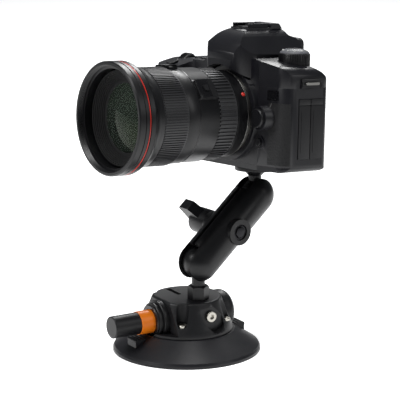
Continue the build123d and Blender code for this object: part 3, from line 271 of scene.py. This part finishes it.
def make_finishes():
    f = FINISHES
    # Injection-moulded ABS with a spark-eroded texture: dull black with a faint sparkle.
    f["housing_abs"] = grained("textured_abs_housing", "#101012", 0.44, 0.5, 0.012)
    # Moulded rubber: smooth, with broad soft highlights.
    f["cup_rubber"] = grained("moulded_epdm_cup", "#121216", 0.42, 1.2, 0.008)
    # Powder coat on cast alloy: slightly pebbled, and deeper black than plastic.
    f["powder_coat"] = grained("powder_coated_alloy_arm", "#08080A", 0.38, 0.45, 0.010)
    # Glass-filled nylon: flow marks and a waxy gloss.
    f["knob_nylon"] = grained("glass_filled_nylon_knob", "#0E0E11", 0.40, 0.6, 0.012)
    # Wrinkle paint on magnesium: a fine tooth that breaks the highlight up.
    f["body_paint"] = grained("wrinkle_painted_magnesium", "#0A0A0F", 0.38, 0.35, 0.014, shine=0.36)
    # Rubber skin with a leather grain: small rounded cells.
    f["grip_rubber"] = grained("leather_grain_rubber", "#0A0A0C", 0.50, 1.3, 0.16, kind="pebble")
    # Satin paint on the turned barrel: tight highlights along its length.
    f["lens_paint"] = grained("satin_painted_lens_barrel", "#0A0A0C", 0.36, 0.3, 0.008)
    # Ribbed rubber, a little grey, with a stronger shine.
    f["ring_rubber"] = grained("ribbed_ring_rubber", "#141417", 0.44, 0.5, 0.01, shine=0.5)
    # Buttons and dials, moulded and tumbled smooth.
    f["control_plastic"] = grained("moulded_control_plastic", "#0A0A0D", 0.38, 0.4, 0.006)
    # Soft rubber flaps and pads: matt.
    f["door_rubber"] = grained("soft_door_rubber", "#0A0A0D", 0.50, 0.6, 0.01)
    # Flock inside the lens and the mirror box: hardly any reflection.
    f["inner_black"] = grained("flocked_black", "#050506", 0.75, 0.4, 0.01)
    # Acetal moulded in colour: an even, slightly waxy orange.
    f["orange"] = grained("moulded_orange_acetal", "#E87A14", 0.38, 0.6, 0.006)
    # Red lacquer: thin, bright and glossy.
    f["red"] = grained("lacquered_red_ring", "#B3261C", 0.30, 0.5, 0.002)
    # Turned stainless steel: bright, with fine tool marks.
    f["stainless"] = metal("turned_stainless_steel", "#A8A59D", 0.28)
    # Satin chrome: greyer and duller than steel.
    f["satin_chrome"] = metal("satin_chromed_brass", "#8F8E8A", 0.34)
    # Black oxide on steel: dark, with a metal's edge highlight.
    f["dark_steel"] = metal("black_oxide_steel", "#2A2A2C", 0.38)
    # Machined aluminium: a soft grey shine.
    f["alloy"] = metal("machined_aluminium", "#B9BABD", 0.35)
    # Turned brass: warm yellow.
    f["brass"] = metal("turned_brass", "#C9A25A", 0.3)
    # Front-silvered glass: a clean mirror.
    f["silvered"] = metal("silvered_mirror", "#E8EAEC", 0.03)
    # Black lacquer: sharp reflections on a black ground.
    f["lens_gloss"] = grained("gloss_black_lacquer", "#0C0C0E", 0.16, 1.0, 0.001, rough_vary=0.03)
    # Paint filled into engraved marks: flat and off-white.
    f["print_white"] = grained("white_filled_marking", "#D8D8D4", 0.5, 0.5, 0.0, vary=0.02)
    # Anodised dial top: silver grey and satin.
    f["dial_silver"] = grained("silver_grey_dial_top", "#4E4F53", 0.42, 0.3, 0.004)
    # Acrylic over a display: deep black and very glossy.
    f["display"] = grained("gloss_display_acrylic", "#060608", 0.08, 2.0, 0.0, rough_vary=0.02)
    # Coated optical glass seen against the dark: green black.
    f["glass"] = grained("coated_optical_glass", "#0A120E", 0.04, 2.0, 0.0, rough_vary=0.01)
    f["front_glass"] = clear_glass()
    f["inner_glass"] = coated_glass()


NODE_FINISH = {
    "cup_rubber": "suction_cup piston_seal check_valve",
    "housing_abs": "base_housing pump_cylinder pump_knob",
    "alloy": "cup_plate",
    "orange": "indicator_band",
    "stainless": "housing_screws side_screws piston_rod tripod_screw tripod_socket pump_spring clamp_spring",
    "satin_chrome": "lens_mount_ring strap_lugs",
    "powder_coat": "arm_near_half arm_far_half lower_ball_stud upper_ball_stud",
    "dark_steel": "arm_bolt hot_shoe",
    "knob_nylon": "wing_knob",
    "brass": "knob_nut",
    "door_rubber": "camera_pad eyecup port_door_front port_door_rear",
    "body_paint": "front_cover rear_cover top_cover bottom_plate",
    "grip_rubber": "grip_skin",
    "control_plastic": "mode_dial main_dial shutter_button lens_release_button preview_button quick_dial"
                       " set_button joystick rear_buttons top_buttons card_door battery_door af_switch"
                       " battery",
    "inner_black": "mirror_box inner_barrel",
    "glass": "image_sensor pentaprism front_element",
    "silvered": "reflex_mirror",
    "display": "rear_display top_display",
    "lens_paint": "lens_barrel front_trim",
    "ring_rubber": "zoom_ring focus_ring",
}


def dress_cad_nodes():
    for finish, nodes in NODE_FINISH.items():
        for node in nodes.split():
            piece = frame["nodes"][node]
            piece.data.materials.clear()
            piece.data.materials.append(FINISHES[finish])


# ---------------------------------------------------------------- modelling tools
def begin():
    """Nothing selected, so that the next primitive stands alone."""
    if bpy.context.object and bpy.context.object.mode != "OBJECT":
        bpy.ops.object.mode_set(mode="OBJECT")
    bpy.ops.object.select_all(action="DESELECT")


def shape(piece):
    """Opens the piece in edit mode."""
    begin()
    piece.select_set(True)
    bpy.context.view_layer.objects.active = piece
    bpy.ops.object.mode_set(mode="EDIT")


def pick(piece, test, part="faces"):
    """Selects the faces whose middle and normal pass the test, or the edges whose two ends do."""
    mesh = bmesh.from_edit_mesh(piece.data)
    for item in list(mesh.faces) + list(mesh.edges) + list(mesh.verts):
        item.select_set(False)
    if part == "faces":
        chosen = [f for f in mesh.faces if test(f.calc_center_median(), f.normal)]
    else:
        chosen = [e for e in mesh.edges if test(e.verts[0].co, e.verts[1].co)]
    for item in chosen:
        item.select_set(True)
    bmesh.update_edit_mesh(piece.data)
    return len(chosen)


def rounded(width, segments=2):
    """Rounds every sharp edge of the piece that is in edit mode."""
    bpy.ops.mesh.select_all(action="DESELECT")
    bpy.ops.mesh.select_mode(type="EDGE")
    bpy.ops.mesh.edges_select_sharp(sharpness=radians(35))
    bpy.ops.mesh.bevel(offset=width, segments=segments, profile=0.6)
    bpy.ops.mesh.select_mode(type="FACE")


def box_piece(name, x, y, z, width=0.4):
    """A block between (low, high) pairs with rounded edges."""
    begin()
    middle = [(a + b) / 2 for a, b in (x, y, z)]
    bpy.ops.mesh.primitive_cube_add(size=1, location=middle)
    piece = bpy.context.object
    piece.name = name
    piece.scale = (x[1] - x[0], y[1] - y[0], z[1] - z[0])
    bpy.ops.object.transform_apply(location=True, rotation=True, scale=True)
    if width:
        shape(piece)
        rounded(width)
        bpy.ops.object.mode_set(mode="OBJECT")
    return piece


def turned(name, section, steps=128, axis="Y"):
    """A closed (radius, along) section spun about the piece's own axis."""
    begin()
    mesh = bpy.data.meshes.new(name)
    points = [(r, a, 0) if axis == "Y" else (r, 0, a) for r, a in section]
    count = len(points)
    mesh.from_pydata(points, [(i, (i + 1) % count) for i in range(count)], [])
    piece = bpy.data.objects.new(name, mesh)
    bpy.context.scene.collection.objects.link(piece)
    shape(piece)
    bpy.ops.mesh.select_all(action="SELECT")
    line = (0, 1, 0) if axis == "Y" else (0, 0, 1)
    bpy.ops.mesh.spin(steps=steps, angle=2 * pi, center=(0, 0, 0), axis=line)
    bpy.ops.mesh.select_all(action="SELECT")
    bpy.ops.mesh.remove_doubles(threshold=0.001)
    bpy.ops.mesh.normals_make_consistent(inside=False)
    bpy.ops.object.mode_set(mode="OBJECT")
    return piece


def raise_ribs(piece, test, count, land, height, axis="Y"):
    """Lifts every other facet round a turned piece into a rib with sloping sides."""
    def is_rib(middle, normal):
        around = atan2(middle.z, middle.x) if axis == "Y" else atan2(middle.y, middle.x)
        return test(middle, normal) and int(floor(around / pi * count + 1e-4)) % 2 == 0
    shape(piece)
    pick(piece, is_rib)
    bpy.ops.mesh.inset(thickness=land, depth=height, use_individual=True)
    bpy.ops.object.mode_set(mode="OBJECT")


def joined(name, pieces):
    """One piece from several."""
    begin()
    for piece in pieces:
        piece.select_set(True)
    bpy.context.view_layer.objects.active = pieces[0]
    bpy.ops.object.join()
    pieces[0].name = name
    return pieces[0]


def moved_copy(piece, matrix):
    """A copy with its own mesh, carried by the matrix."""
    begin()
    piece.select_set(True)
    bpy.context.view_layer.objects.active = piece
    bpy.ops.object.duplicate(linked=False)
    copy = bpy.context.object
    copy.matrix_world = matrix @ copy.matrix_world
    bpy.ops.object.transform_apply(location=True, rotation=True, scale=True)
    return copy


def settle(piece, place, finish, body, replaces=(), angle=32):
    """Sets a finished piece down: its place, shading, finish, body and the nodes it stands for."""
    begin()
    piece.select_set(True)
    bpy.context.view_layer.objects.active = piece
    piece.matrix_world = place @ piece.matrix_world
    bpy.ops.object.transform_apply(location=True, rotation=True, scale=True)
    bpy.ops.object.shade_smooth_by_angle(angle=radians(angle))
    piece.data.materials.clear()
    piece.data.materials.append(FINISHES[finish])
    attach(piece, body)
    if replaces:
        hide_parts(*replaces)
    return piece


def soften(node, width=0.35, angle=38):
    """Takes the sharp arris off a CAD node, as moulding and paint do."""
    piece = frame["nodes"][node]
    weld = piece.modifiers.new("weld", "WELD")
    weld.merge_threshold = 0.00001
    arris = piece.modifiers.new("arris", "BEVEL")
    arris.width = width * MM
    arris.segments = 2
    arris.limit_method = "ANGLE"
    arris.angle_limit = radians(angle)
    arris.use_clamp_overlap = True


# ---------------------------------------------------------------- sizes that the frame doesn't state, mm
FRONT_Y = 6.0                      # the front face
SWEEP_X, FRONT_SWEEP = 36.0, 6.0   # beyond this the front falls back, by this much
RELEASE_X, RELEASE_BOSS_R = 43.5, 10.0
BADGE_AT = (50.5, 18.0)
SWITCH_ANGLE, INDEX_ANGLE, WINDOW_ANGLE, DOT_ANGLE = 52, 20, -4, 59   # round the lens from its top
DOT_AT = (0, -4.0, 34.0)


def local_box(node, place):
    """A node's lowest and highest corners in a piece's own frame, mm."""
    inverse = place.inverted()
    points = [inverse @ vertex.co for vertex in frame["nodes"][node].data.vertices]
    low = Vector([min(p[i] for p in points) for i in range(3)])
    high = Vector([max(p[i] for p in points) for i in range(3)])
    return low, high


def reach(node, place):
    """A turned lens node's largest radius, front and rear, in the camera's frame."""
    low, high = local_box(node, place)
    return max(high.x, high.z), low.y, high.y


# ---------------------------------------------------------------- the lens
def ribbed_grip(name, node, body, count, height, land):
    r, front, rear = reach(node, CAMERA)
    core = r - height
    section = [(r - 2.6, front), (core - 0.3, front), (core, front + 0.3), (core, front + 1.3),
               (core, rear - 1.3), (core, rear - 0.3), (core - 0.3, rear), (r - 2.6, rear)]
    grip = turned(name, section, 2 * count)

    def is_land(middle, normal):
        out = sqrt(middle.x ** 2 + middle.z ** 2)
        return out > core - 0.2 and front + 1.31 < middle.y < rear - 1.31 and abs(normal.y) < 0.2
    raise_ribs(grip, is_land, count, land, height)
    settle(grip, CAMERA, "ring_rubber", body, [node])


def band(name, r, front, rear, finish, proud=0.25, deep=0.6, body="camera"):
    ring = turned(name, [(r - deep, front), (r + proud - 0.1, front), (r + proud, front + 0.12),
                         (r + proud, rear - 0.12), (r + proud - 0.1, rear), (r - deep, rear)])
    settle(ring, CAMERA, finish, body)


def lens_front():
    r, front, rear = reach("front_trim", CAMERA)
    bore, thread = 38.5, 41.0
    steps = [(bore, rear), (r - 0.8, rear), (r - 0.8, rear - 1.2), (r, rear - 1.5), (r, rear - 4.6),
             (r - 0.5, rear - 4.8), (r - 0.5, rear - 6.6), (r, rear - 6.8), (r, rear - 9.4),
             (r - 0.45, rear - 9.6), (r - 0.45, rear - 10.3), (r, rear - 10.5), (r, front + 1.0),
             (r - 0.9, front), (thread + 0.5, front), (thread, front + 0.5)]
    pitch, turns = 0.75, 5
    for i in range(turns):
        y = front + 0.8 + i * pitch
        steps += [(thread, y), (thread - 0.35, y + pitch * 0.4), (thread, y + pitch * 0.8)]
    steps += [(bore, front + 4.9)]
    settle(turned("front_shroud", steps, 160), CAMERA, "lens_paint", "camera", ["front_trim"])
    band("red_ring", r - 0.5, rear - 6.1, rear - 5.35, "red", proud=0.42)


def baffle_funnel():
    r, front, rear = reach("inner_barrel", CAMERA)
    glass_r, _, _ = reach("front_element", CAMERA)
    section = [(glass_r, rear), (r, rear), (r, front), (r - 1.2, front)]
    rings = 7
    for i in range(rings):
        out = r - 1.2 - (r - glass_r - 3.0) * i / rings
        deep = front + (rear - 5 - front) * (i + 1) / rings
        section += [(out - 0.25, deep), (out - (r - glass_r - 3.0) / rings, deep)]
    section += [(glass_r, rear - 5)]
    funnel = turned("baffle_funnel", section, 128)
    settle(funnel, CAMERA, "inner_black", "front_group", ["inner_barrel"])


def dome(name, r, front, edge, back, rings=9):
    """A lens element: a round front that stands proud of its edge, and a flat back."""
    crown = edge - front
    bow = (r * r + crown * crown) / (2 * crown)
    section = [(0.0, back), (r, back)]
    for i in range(rings + 1):
        out = r * (1 - i / rings)
        section.append((out, front + bow - sqrt(bow * bow - out * out)))
    return turned(name, section, 96)


def lens_glass():
    r, front, rear = reach("front_element", CAMERA)
    outer = dome("front_glass", r - 0.05, front, front + 5.0, front + 5.2)
    settle(outer, CAMERA, "front_glass", "front_group", ["front_element"])
    inner = dome("second_glass", r - 7.0, front + 5.6, front + 8.4, rear - 0.4)
    settle(inner, CAMERA, "inner_glass", "front_group")


def lens_details():
    _, focus_front, focus_rear = reach("focus_ring", CAMERA)
    band("focus_front_line", 38.9, focus_front - 1.3, focus_front - 0.7, "lens_gloss", 0.35)
    band("collar_line", 37.2, focus_rear + 10.6, focus_rear + 11.3, "lens_gloss", 0.3)
    band("mount_line", 33.9, -2.1, -1.75, "satin_chrome", 0.2)
    turn = Matrix.Rotation(radians(DOT_ANGLE), 4, "Y")
    begin()
    bpy.ops.mesh.primitive_uv_sphere_add(segments=24, ring_count=12, radius=1.7, location=DOT_AT)
    dot = bpy.context.object
    dot.name = "mount_index_dot"
    bpy.ops.object.transform_apply(location=True, rotation=True, scale=True)
    shape(dot)
    bpy.ops.mesh.select_all(action="SELECT")
    bpy.ops.transform.resize(value=(1, 1, 0.45), center_override=DOT_AT)
    bpy.ops.object.mode_set(mode="OBJECT")
    settle(dot, CAMERA @ turn, "red", "camera")
    turn = Matrix.Rotation(radians(SWITCH_ANGLE), 4, "Y")
    plate = box_piece("switch_plate", (-7.6, 7.6), (-48.2, -37.2), (38.3, 38.75), 0.25)
    settle(plate, CAMERA @ turn, "lens_gloss", "camera")
    index = box_piece("focus_index", (-0.35, 0.35), (-60.2, -55.5), (37.2, 37.65), 0.1)
    turn = Matrix.Rotation(radians(INDEX_ANGLE), 4, "Y")
    settle(index, CAMERA @ turn, "print_white", "camera")
    window = box_piece("distance_window", (-9, 9), (-60.0, -51.0), (34.5, 39.2), 1.1)
    shape(window)
    pick(window, lambda middle, normal: normal.z > 0.9)
    bpy.ops.mesh.inset(thickness=1.3, depth=0)
    bpy.ops.mesh.inset(thickness=0.25, depth=-0.7)
    bpy.ops.object.mode_set(mode="OBJECT")
    turn = Matrix.Rotation(radians(WINDOW_ANGLE), 4, "Y")
    settle(window, CAMERA @ turn, "lens_gloss", "camera")


# ---------------------------------------------------------------- the camera body
def leather_patch(name, node, keep, low, high, lift=0.55):
    """A grained panel that follows a cover: its outer faces between two corners, lifted a little."""
    begin()
    mesh = frame["nodes"][node].data.copy()
    patch = bpy.data.objects.new(name, mesh)
    bpy.context.scene.collection.objects.link(patch)
    patch.matrix_world = CAMERA.inverted()
    shape(patch)
    bpy.ops.mesh.select_all(action="SELECT")
    bpy.ops.mesh.remove_doubles(threshold=0.00001)
    bpy.ops.object.mode_set(mode="OBJECT")
    begin()
    patch.select_set(True)
    bpy.context.view_layer.objects.active = patch
    bpy.ops.object.transform_apply(location=True, rotation=True, scale=True)
    shape(patch)
    for i in range(3):
        for corner, sign in ((low, -1), (high, 1)):
            normal = [0, 0, 0]
            normal[i] = sign
            bpy.ops.mesh.select_all(action="SELECT")
            bpy.ops.mesh.bisect(plane_co=corner, plane_no=normal, clear_outer=True)
    pick(patch, lambda middle, normal: not keep(middle, normal))
    bpy.ops.mesh.delete(type="FACE")
    bpy.ops.mesh.select_all(action="SELECT")
    bpy.ops.mesh.delete_loose()
    bpy.ops.object.mode_set(mode="OBJECT")
    wall = patch.modifiers.new("wall", "SOLIDIFY")
    wall.thickness = lift
    wall.offset = 1.0
    begin()
    patch.select_set(True)
    bpy.context.view_layer.objects.active = patch
    bpy.ops.object.modifier_apply(modifier="wall")
    return settle(patch, CAMERA, "grip_rubber", "camera")


def body_panels():
    _, high = local_box("front_cover", CAMERA)

    def outside(middle, normal):
        beside_button = sqrt((middle.x - RELEASE_X) ** 2 + middle.z ** 2) > RELEASE_BOSS_R
        return beside_button and middle.y > 5.9 and (normal.y < -0.3 or normal.x > 0.5)
    leather_patch("port_side_leather", "front_cover", outside, (46.5, 5.0, -36.3), (high.x + 1, 16.9, 12.0))


def badge_plate():
    """The small framed plate on the front, left blank."""
    _, high = local_box("front_cover", CAMERA)
    plate = box_piece("badge_plate", (-5.2, 5.2), (-0.5, 0.3), (-3.6, 3.6), 0.25)
    shape(plate)
    pick(plate, lambda middle, normal: normal.y < -0.9)
    bpy.ops.mesh.inset(thickness=0.7, depth=0)
    bpy.ops.mesh.inset(thickness=0.15, depth=-0.25)
    bpy.ops.object.mode_set(mode="OBJECT")
    lean = atan2(FRONT_SWEEP, high.x - SWEEP_X)
    x, z = BADGE_AT
    lay = Matrix.Translation((x, FRONT_Y + (x - SWEEP_X) * sin(lean), z)) @ Matrix.Rotation(lean, 4, "Z")
    settle(plate, CAMERA @ lay, "lens_gloss", "camera")


def port_doors():
    for name in ("port_door_front", "port_door_rear"):
        low, high = local_box(name, CAMERA)
        groove, gap = high.z - 5.0, 0.35
        width = (low.y + 0.12, high.y - 0.12)
        upper = box_piece("upper", (low.x, high.x), width, (groove + gap, high.z), 0.35)
        lower = box_piece("lower", (low.x, high.x), width, (low.z, groove), 0.35)
        core = box_piece("core", (low.x, high.x - 0.7), (low.y + 0.3, high.y - 0.3),
                         (low.z + 0.3, high.z - 0.3), 0.1)
        pull = box_piece("pull", (high.x - 0.4, high.x + 0.25), (low.y + 2.5, low.y + 3.1),
                         (low.z + 5, groove - 4), 0.1)
        flap = joined(name + "_flap", [upper, lower, core, pull])
        settle(flap, CAMERA, "door_rubber", name, [name])


def strap_lug_wells():
    low, high = local_box("strap_lugs", CAMERA)
    for side, x in ((1, high.x), (-1, low.x)):
        face = x - side * 2.6
        span = sorted((face - side * 0.4, face + side * 0.75))
        well = box_piece("well", span, (low.y - 3.0, high.y + 2.5), (low.z - 2.6, high.z + 2.2), 0.6)
        shape(well)
        pick(well, lambda middle, normal: normal.x * side > 0.9)
        bpy.ops.mesh.inset(thickness=1.0, depth=0)
        bpy.ops.mesh.inset(thickness=0.3, depth=-0.6)
        bpy.ops.object.mode_set(mode="OBJECT")
        settle(well, CAMERA, "control_plastic", "camera")


def knurled_knob(name, node, frame_of_knob, r, low, high, count, finish, body, top=0.8):
    """A turned knob with a ribbed rim; its own frame has +Z out of the body."""
    core = r - 0.55
    section = [(0, low), (core - 0.6, low), (core, low + 0.6), (core, high - 1.4), (core - 0.5, high - 0.6),
               (core - 1.6, high), (core - 2.4, high), (core - 2.9, high - top * 0.4), (0, high - top * 0.4)]
    knob = turned(name, section, 2 * count, axis="Z")

    def on_rim(middle, normal):
        return abs(normal.z) < 0.2 and low + 0.7 < middle.z < high - 1.0
    raise_ribs(knob, on_rim, count, 0.1, 0.5, axis="Z")
    return settle(knob, frame_of_knob, finish, body, [node] if node else [])


def mode_dial():
    axis, place = axis_of("mode_dial_turn"), place_of("mode_dial_turn")
    own = frame_from(CAMERA.to_3x3() @ Vector((1, 0, 0)), axis, place)
    low, high = local_box("mode_dial", own)
    r = high.x
    knurled_knob("mode_dial_knob", "mode_dial", own, r, low.z, high.z - 2.6, 44, "control_plastic",
                 "mode_dial")
    top = high.z - 0.15
    section = [(0, top - 3.6), (r - 0.8, top - 3.6), (r - 0.9, top - 2.9), (r - 1.5, top - 2.2),
               (r - 5.6, top - 0.1), (r - 6.0, top), (r - 6.4, top - 0.3), (0, top - 0.3)]
    disc = turned("disc", section, 96, axis="Z")
    settle(disc, own, "dial_silver", "mode_dial")
    section = [(0, top - 0.5), (r - 6.4, top - 0.5), (r - 6.7, top + 0.1), (0, top + 0.12)]
    cap = turned("mode_dial_cap", section, 64, axis="Z")
    settle(cap, own, "control_plastic", "mode_dial")
    marks = []
    for i in range(10):
        mark = box_piece("mark", (r - 4.0, r - 2.6), (-0.25, 0.25), (top - 1.9, top - 0.75), 0)
        marks.append(moved_copy(mark, Matrix.Rotation(2 * pi * i / 10, 4, "Z")))
        bpy.data.objects.remove(mark)
    settle(joined("mode_dial_marks", marks), own, "print_white", "mode_dial")
    disc.name = "mode_dial_disc"


def rear_controls():
    axis, place = axis_of("quick_dial_turn"), place_of("quick_dial_turn")
    own = frame_from(CAMERA.to_3x3() @ Vector((1, 0, 0)), axis, place)
    _, high = local_box("quick_dial", own)
    inner = local_box("set_button", own)[1].x + 0.15
    section = [(inner, -0.8), (high.x - 0.4, -0.8), (high.x - 0.4, high.z - 0.6), (high.x - 1.0, high.z),
               (high.x - 4.6, high.z), (high.x - 5.4, high.z - 0.5), (inner + 0.6, high.z - 0.7),
               (inner, high.z - 1.0)]
    dial = turned("quick_wheel", section, 120, axis="Z")

    def on_rim(middle, normal):
        return normal.z > 0.9 and sqrt(middle.x ** 2 + middle.y ** 2) > high.x - 4.7
    raise_ribs(dial, on_rim, 60, 0.12, 0.0, axis="Z")
    settle(dial, own, "control_plastic", "quick_dial", ["quick_dial"])
    low, high = local_box("rear_display", CAMERA)
    bezel = box_piece("display_bezel", (low.x - 3, high.x + 3), (high.y - 0.2, high.y + 0.7),
                      (low.z - 3, high.z + 3), 0.5)
    shape(bezel)
    pick(bezel, lambda middle, normal: normal.y > 0.9)
    bpy.ops.mesh.inset(thickness=3.2, depth=0)
    bpy.ops.mesh.inset(thickness=0.2, depth=-0.5)
    bpy.ops.object.mode_set(mode="OBJECT")
    settle(bezel, CAMERA, "display", "camera")
    wheel = place_of("main_dial_turn")
    own = frame_from(CAMERA_UP, axis_of("main_dial_turn"), wheel)
    low, high = local_box("main_dial", own)
    knurled_knob("finger_wheel", "main_dial", own, high.x, low.z, high.z, 36, "control_plastic",
                 "main_dial", top=0.6)


def eyepiece():
    low, high = local_box("eyecup", CAMERA)
    x, z = (low.x + high.x) / 2, (low.z + high.z) / 2
    glass = box_piece("eyepiece_glass", (x - 8.6, x + 8.6), (low.y - 3.5, low.y - 1.5),
                      (z - 5.6, z + 3.9), 0.4)
    settle(glass, CAMERA, "display", "camera")


# ---------------------------------------------------------------- the arm and the base
def bolt_head():
    low, high = local_box("arm_bolt", ARM)
    r = high.y
    begin()
    bpy.ops.mesh.primitive_cylinder_add(vertices=48, radius=r, depth=4.0, location=(0, 0, 0))
    head = bpy.context.object
    head.name = "clamp_bolt"
    shape(head)
    rounded(0.6)
    pick(head, lambda middle, normal: normal.z > 0.95)
    bpy.ops.mesh.inset(thickness=1.6, depth=0)
    bpy.ops.mesh.inset(thickness=0.5, depth=-0.5)
    bpy.ops.object.mode_set(mode="OBJECT")
    begin()
    bpy.ops.mesh.primitive_cylinder_add(vertices=6, radius=r - 1.7, depth=3.0, location=(0, 0, 1.6))
    hexagon = bpy.context.object
    shape(hexagon)
    rounded(0.35)
    bpy.ops.object.mode_set(mode="OBJECT")
    head = joined("clamp_bolt", [head, hexagon])
    shape(head)
    pick(head, lambda middle, normal: normal.z < -0.95 and middle.z < -1.5)
    bpy.ops.mesh.inset(thickness=r - 3.1, depth=0)
    bpy.ops.mesh.extrude_region_move(TRANSFORM_OT_translate={"value": (0, 0, low.x - high.x + 4.0)})
    bpy.ops.object.mode_set(mode="OBJECT")
    lay = Matrix.Translation((high.x - 2.0, 0, 0)) @ Matrix.Rotation(pi / 2, 4, "Y")
    settle(head, ARM @ lay, "dark_steel", "arm", ["arm_bolt"])


def pump_rings():
    low, high = local_box("pump_cylinder", BASE)
    z = (low.z + high.z) / 2
    front = low.y
    lift = Matrix.Translation((0, 0, z))
    section = [(12.6, front + 1.5), (14.0, front + 1.7), (14.4, front + 2.2), (14.4, front + 3.6),
               (13.6, front + 4.0), (13.6, front + 4.8), (15.4, front + 5.2), (15.8, front + 5.8),
               (15.8, front + 9.5), (12.6, front + 9.5)]
    settle(turned("pump_collar_ring", section, 96), BASE @ lift, "housing_abs", "base")
    lip = [(9.9, front - 0.05), (12.4, front - 0.05), (12.8, front + 0.5), (12.8, front + 1.8),
           (9.9, front + 1.8)]
    settle(turned("pump_mouth_lip", lip, 96), BASE @ lift, "lens_gloss", "base")


def cup_details():
    _, high = local_box("suction_cup", BASE)
    r = high.x
    lip = [(r - 2.4, 0.25), (r - 0.4, 0.2), (r, 0.6), (r - 0.1, 1.7), (r - 0.9, 2.5), (r - 2.4, 2.7)]
    settle(turned("cup_lip_bead", lip, 192, axis="Z"), BASE, "cup_rubber", "base", angle=60)


def build_pieces():
    ribbed_grip("focus_grip", "focus_ring", "focus_ring", 116, 0.75, 0.12)
    ribbed_grip("zoom_grip", "zoom_ring", "zoom_ring", 72, 1.0, 0.25)
    lens_front()
    baffle_funnel()
    lens_glass()
    lens_details()
    body_panels()
    badge_plate()
    port_doors()
    strap_lug_wells()
    mode_dial()
    rear_controls()
    eyepiece()
    bolt_head()
    pump_rings()
    cup_details()


SOFTENED = {
    0.35: "front_cover rear_cover top_cover bottom_plate base_housing arm_near_half arm_far_half wing_knob",
    0.25: "lens_barrel card_door battery_door strap_lugs hot_shoe",
}


def soften_cad_nodes():
    for width, nodes in SOFTENED.items():
        for node in nodes.split():
            soften(node, width)


make_finishes()
set_camera()
set_world()
set_lights()
set_floor()
dress_cad_nodes()
soften_cad_nodes()
build_pieces()
